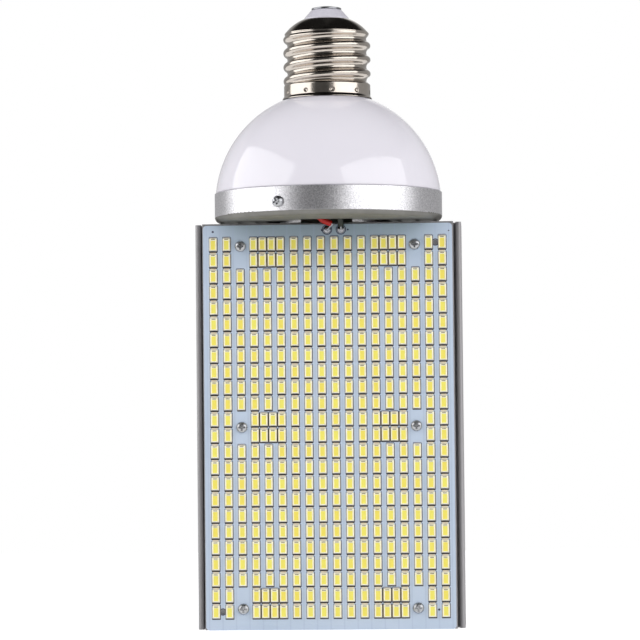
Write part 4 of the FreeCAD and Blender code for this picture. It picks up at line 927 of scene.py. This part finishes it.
# White polyamide frame, glossy and a little creamy; silicone with yellow phosphor, satin;
# a dark slot; tinned tabs. Each LED has its own tone, as bins differ a little.
def led_finish(name, dark, light, roughness, ior, grain):
    """A finish that mixes two colours by each LED's own tone and by a fine grain."""
    finish, tree, shader, where = new_finish(name)
    tone = add(tree, "ShaderNodeAttribute", {"attribute_name": "tone"}, {})
    fine = add(tree, "ShaderNodeTexNoise", {}, {"Vector": where, "Scale": grain, "Detail": 2.0})
    mix = add(tree, "ShaderNodeMath", {"operation": "MULTIPLY_ADD", "use_clamp": True}, {
        0: fine.outputs["Fac"], 1: 0.5, 2: tone.outputs["Fac"]})
    body = two_tone(tree, mix.outputs[0], dark, light)
    bump = bumps(tree, fine.outputs["Fac"], 0.15, 0.00003)
    tree.links.new(body, shader.inputs["Base Color"])
    tree.links.new(bump, shader.inputs["Normal"])
    shader.inputs["Roughness"].default_value = roughness
    shader.inputs["IOR"].default_value = ior
    return finish


frame_white = led_finish("white_polyamide_frame", "#F8F2CC", "#FFFCE6", 0.35, 1.53, 1500.0)
phosphor = led_finish("yellow_phosphor_silicone", "#F4DA5C", "#F3EC72", 0.38, 1.41, 900.0)
slot_dark = led_finish("brown_pad_slot", "#4A3E26", "#756839", 0.5, 1.5, 1500.0)
tinned = led_finish("tinned_tab", "#B9B4A8", "#DAD6CC", 0.3, 1.5, 1500.0)
tinned.node_tree.nodes["Principled BSDF"].inputs["Metallic"].default_value = 1.0

one_points, one_faces, one_kinds = package()
spots = np.stack([places[:, 0], np.full(len(places), BOARD_FRONT), places[:, 1]], axis=-1)
points = (spots[:, None, :] + one_points[None]).reshape(-1, 3)
faces = (np.arange(len(places))[:, None, None] * len(one_points) + one_faces[None]).reshape(-1, 4)
led_rows = lay_mesh("led_packages", points, faces, "led_package",
                    [frame_white, phosphor, slot_dark, tinned])
led_rows.data.polygons.foreach_set("use_smooth", np.zeros(len(faces), bool))
kinds = np.tile(one_kinds, len(places)).astype(np.int32)
led_rows.data.polygons.foreach_set("material_index", kinds)
tones = np.random.default_rng(7).uniform(0.15, 0.65, len(places))
mark = led_rows.data.attributes.new("tone", "FLOAT", "POINT")
mark.data.foreach_set("value", np.repeat(tones, len(one_points)).astype(np.float32))
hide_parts("leds")


# Leads and joints: stranded copper in silicone rubber, red and black, from the driver down
# through the collar's slot, each with its tinned strands soldered to a pad on the board.
def rubber(name, dark, light, sheen):
    """Silicone rubber: soft gloss, with dust and scuffs about a millimetre across."""
    finish, tree, shader, where = new_finish(name)
    scuff = add(tree, "ShaderNodeTexNoise", {}, {"Vector": where, "Scale": 1000.0, "Detail": 3.0})
    body = two_tone(tree, scuff.outputs["Fac"], dark, light)
    worn = spread(tree, scuff.outputs["Fac"], sheen - 0.08, sheen + 0.12)
    bump = bumps(tree, scuff.outputs["Fac"], 0.2, 0.0001)
    dress(tree, shader, body, worn, bump)
    shader.inputs["IOR"].default_value = 1.43
    return finish


red_rubber = rubber("red_silicone_rubber", "#A31712", "#C42019", 0.4)
black_rubber = rubber("black_silicone_rubber", "#10160F", "#232B22", 0.4)
white_rubber = rubber("white_silicone_rubber", "#C9C7C2", "#E2E0DB", 0.4)
joined_copy("positive_lead", "red_board_lead", [red_rubber], 0.0, 1)
joined_copy("negative_lead", "black_board_lead", [black_rubber], 0.0, 1)

# Solder: bright tin with a wavy, slightly dull skin.
tin, tree, shader, where = new_finish("bright_solder")
skin = add(tree, "ShaderNodeTexNoise", {}, {
    "Vector": where, "Scale": 1100.0, "Detail": 3.0, "Distortion": 1.0})
body = two_tone(tree, skin.outputs["Fac"], "#55565B", "#BEBEC2")
sheen = spread(tree, skin.outputs["Fac"], 0.12, 0.34)
waves = bumps(tree, skin.outputs["Fac"], 0.8, 0.0003)
dress(tree, shader, body, sheen, waves)
shader.inputs["Metallic"].default_value = 1.0
joined_copy("solder_joints", "board_solder_joints", [tin], 0.0, 1)


# Driver inside the housing: a round glass-epoxy board on brass pillars, with a transformer,
# capacitors, choke, rectifier, transistor, fuse and varistor, hand- and wave-soldered. Nothing
# of it shows, so its CAD solids only get their finishes, as do the hidden screws and leads.
def workshop_finish(name, dark, light, grain_mm, sheen, metal, ior):
    """Two colours mixed by a grain of the given size, which also makes the gloss and the skin."""
    finish, tree, shader, where = new_finish(name)
    grain = add(tree, "ShaderNodeTexNoise", {}, {
        "Vector": where, "Scale": 1000.0 / grain_mm, "Detail": 3.0})
    body = two_tone(tree, grain.outputs["Fac"], dark, light)
    gloss = spread(tree, grain.outputs["Fac"], sheen - 0.07, sheen + 0.1)
    bump = bumps(tree, grain.outputs["Fac"], 0.2, grain_mm / 20000)
    dress(tree, shader, body, gloss, bump)
    shader.inputs["Metallic"].default_value = metal
    shader.inputs["IOR"].default_value = ior
    return finish


# Each finish: its two colours, grain in millimetres, roughness, metal share and IOR.
ferrite = workshop_finish("fired_ferrite", "#25262A", "#3A3B40", 0.8, 0.5, 0.0, 1.5)
black_epoxy = workshop_finish("moulded_black_epoxy", "#17181A", "#26272A", 0.5, 0.45, 0.0, 1.55)
brass = workshop_finish("plated_brass_pillar", "#A89766", "#CDBE8C", 0.6, 0.3, 1.0, 1.5)
glass_epoxy = workshop_finish("green_glass_epoxy", "#1F5A38", "#2F7A4C", 2.0, 0.35, 0.0, 1.55)
tape = workshop_finish("yellow_winding_tape", "#C9A638", "#E2C55A", 1.5, 0.35, 0.0, 1.5)
blue_sleeve = workshop_finish("dark_blue_sleeve", "#16213F", "#22305A", 3.0, 0.3, 0.0, 1.53)
black_sleeve = workshop_finish("black_capacitor_sleeve", "#141517", "#232427", 3.0, 0.3, 0.0, 1.53)
film_case = workshop_finish("yellow_film_case", "#C98F22", "#DFA838", 1.0, 0.4, 0.0, 1.5)
fuse_body = workshop_finish("brown_fuse_body", "#5A3A22", "#7A5233", 0.7, 0.35, 0.0, 1.5)
blue_dip = workshop_finish("blue_epoxy_dip", "#1F4F96", "#2F68B8", 1.2, 0.3, 0.0, 1.55)
inner_finishes = {
    "end_screws": zinc, "driver_screws": zinc, "live_lead": red_rubber,
    "neutral_lead": white_rubber, "driver_standoffs": brass, "driver_board": glass_epoxy,
    "transformer_core": ferrite, "line_choke": ferrite, "transformer_winding": tape,
    "bulk_capacitors": blue_sleeve, "output_capacitor": black_sleeve,
    "film_capacitor": film_case, "bridge_rectifier": black_epoxy,
    "power_transistor": black_epoxy, "fuse": fuse_body, "varistor": blue_dip,
}
for node, finish in inner_finishes.items():
    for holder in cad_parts[node].material_slots:
        holder.material = finish


low, high = cad_box
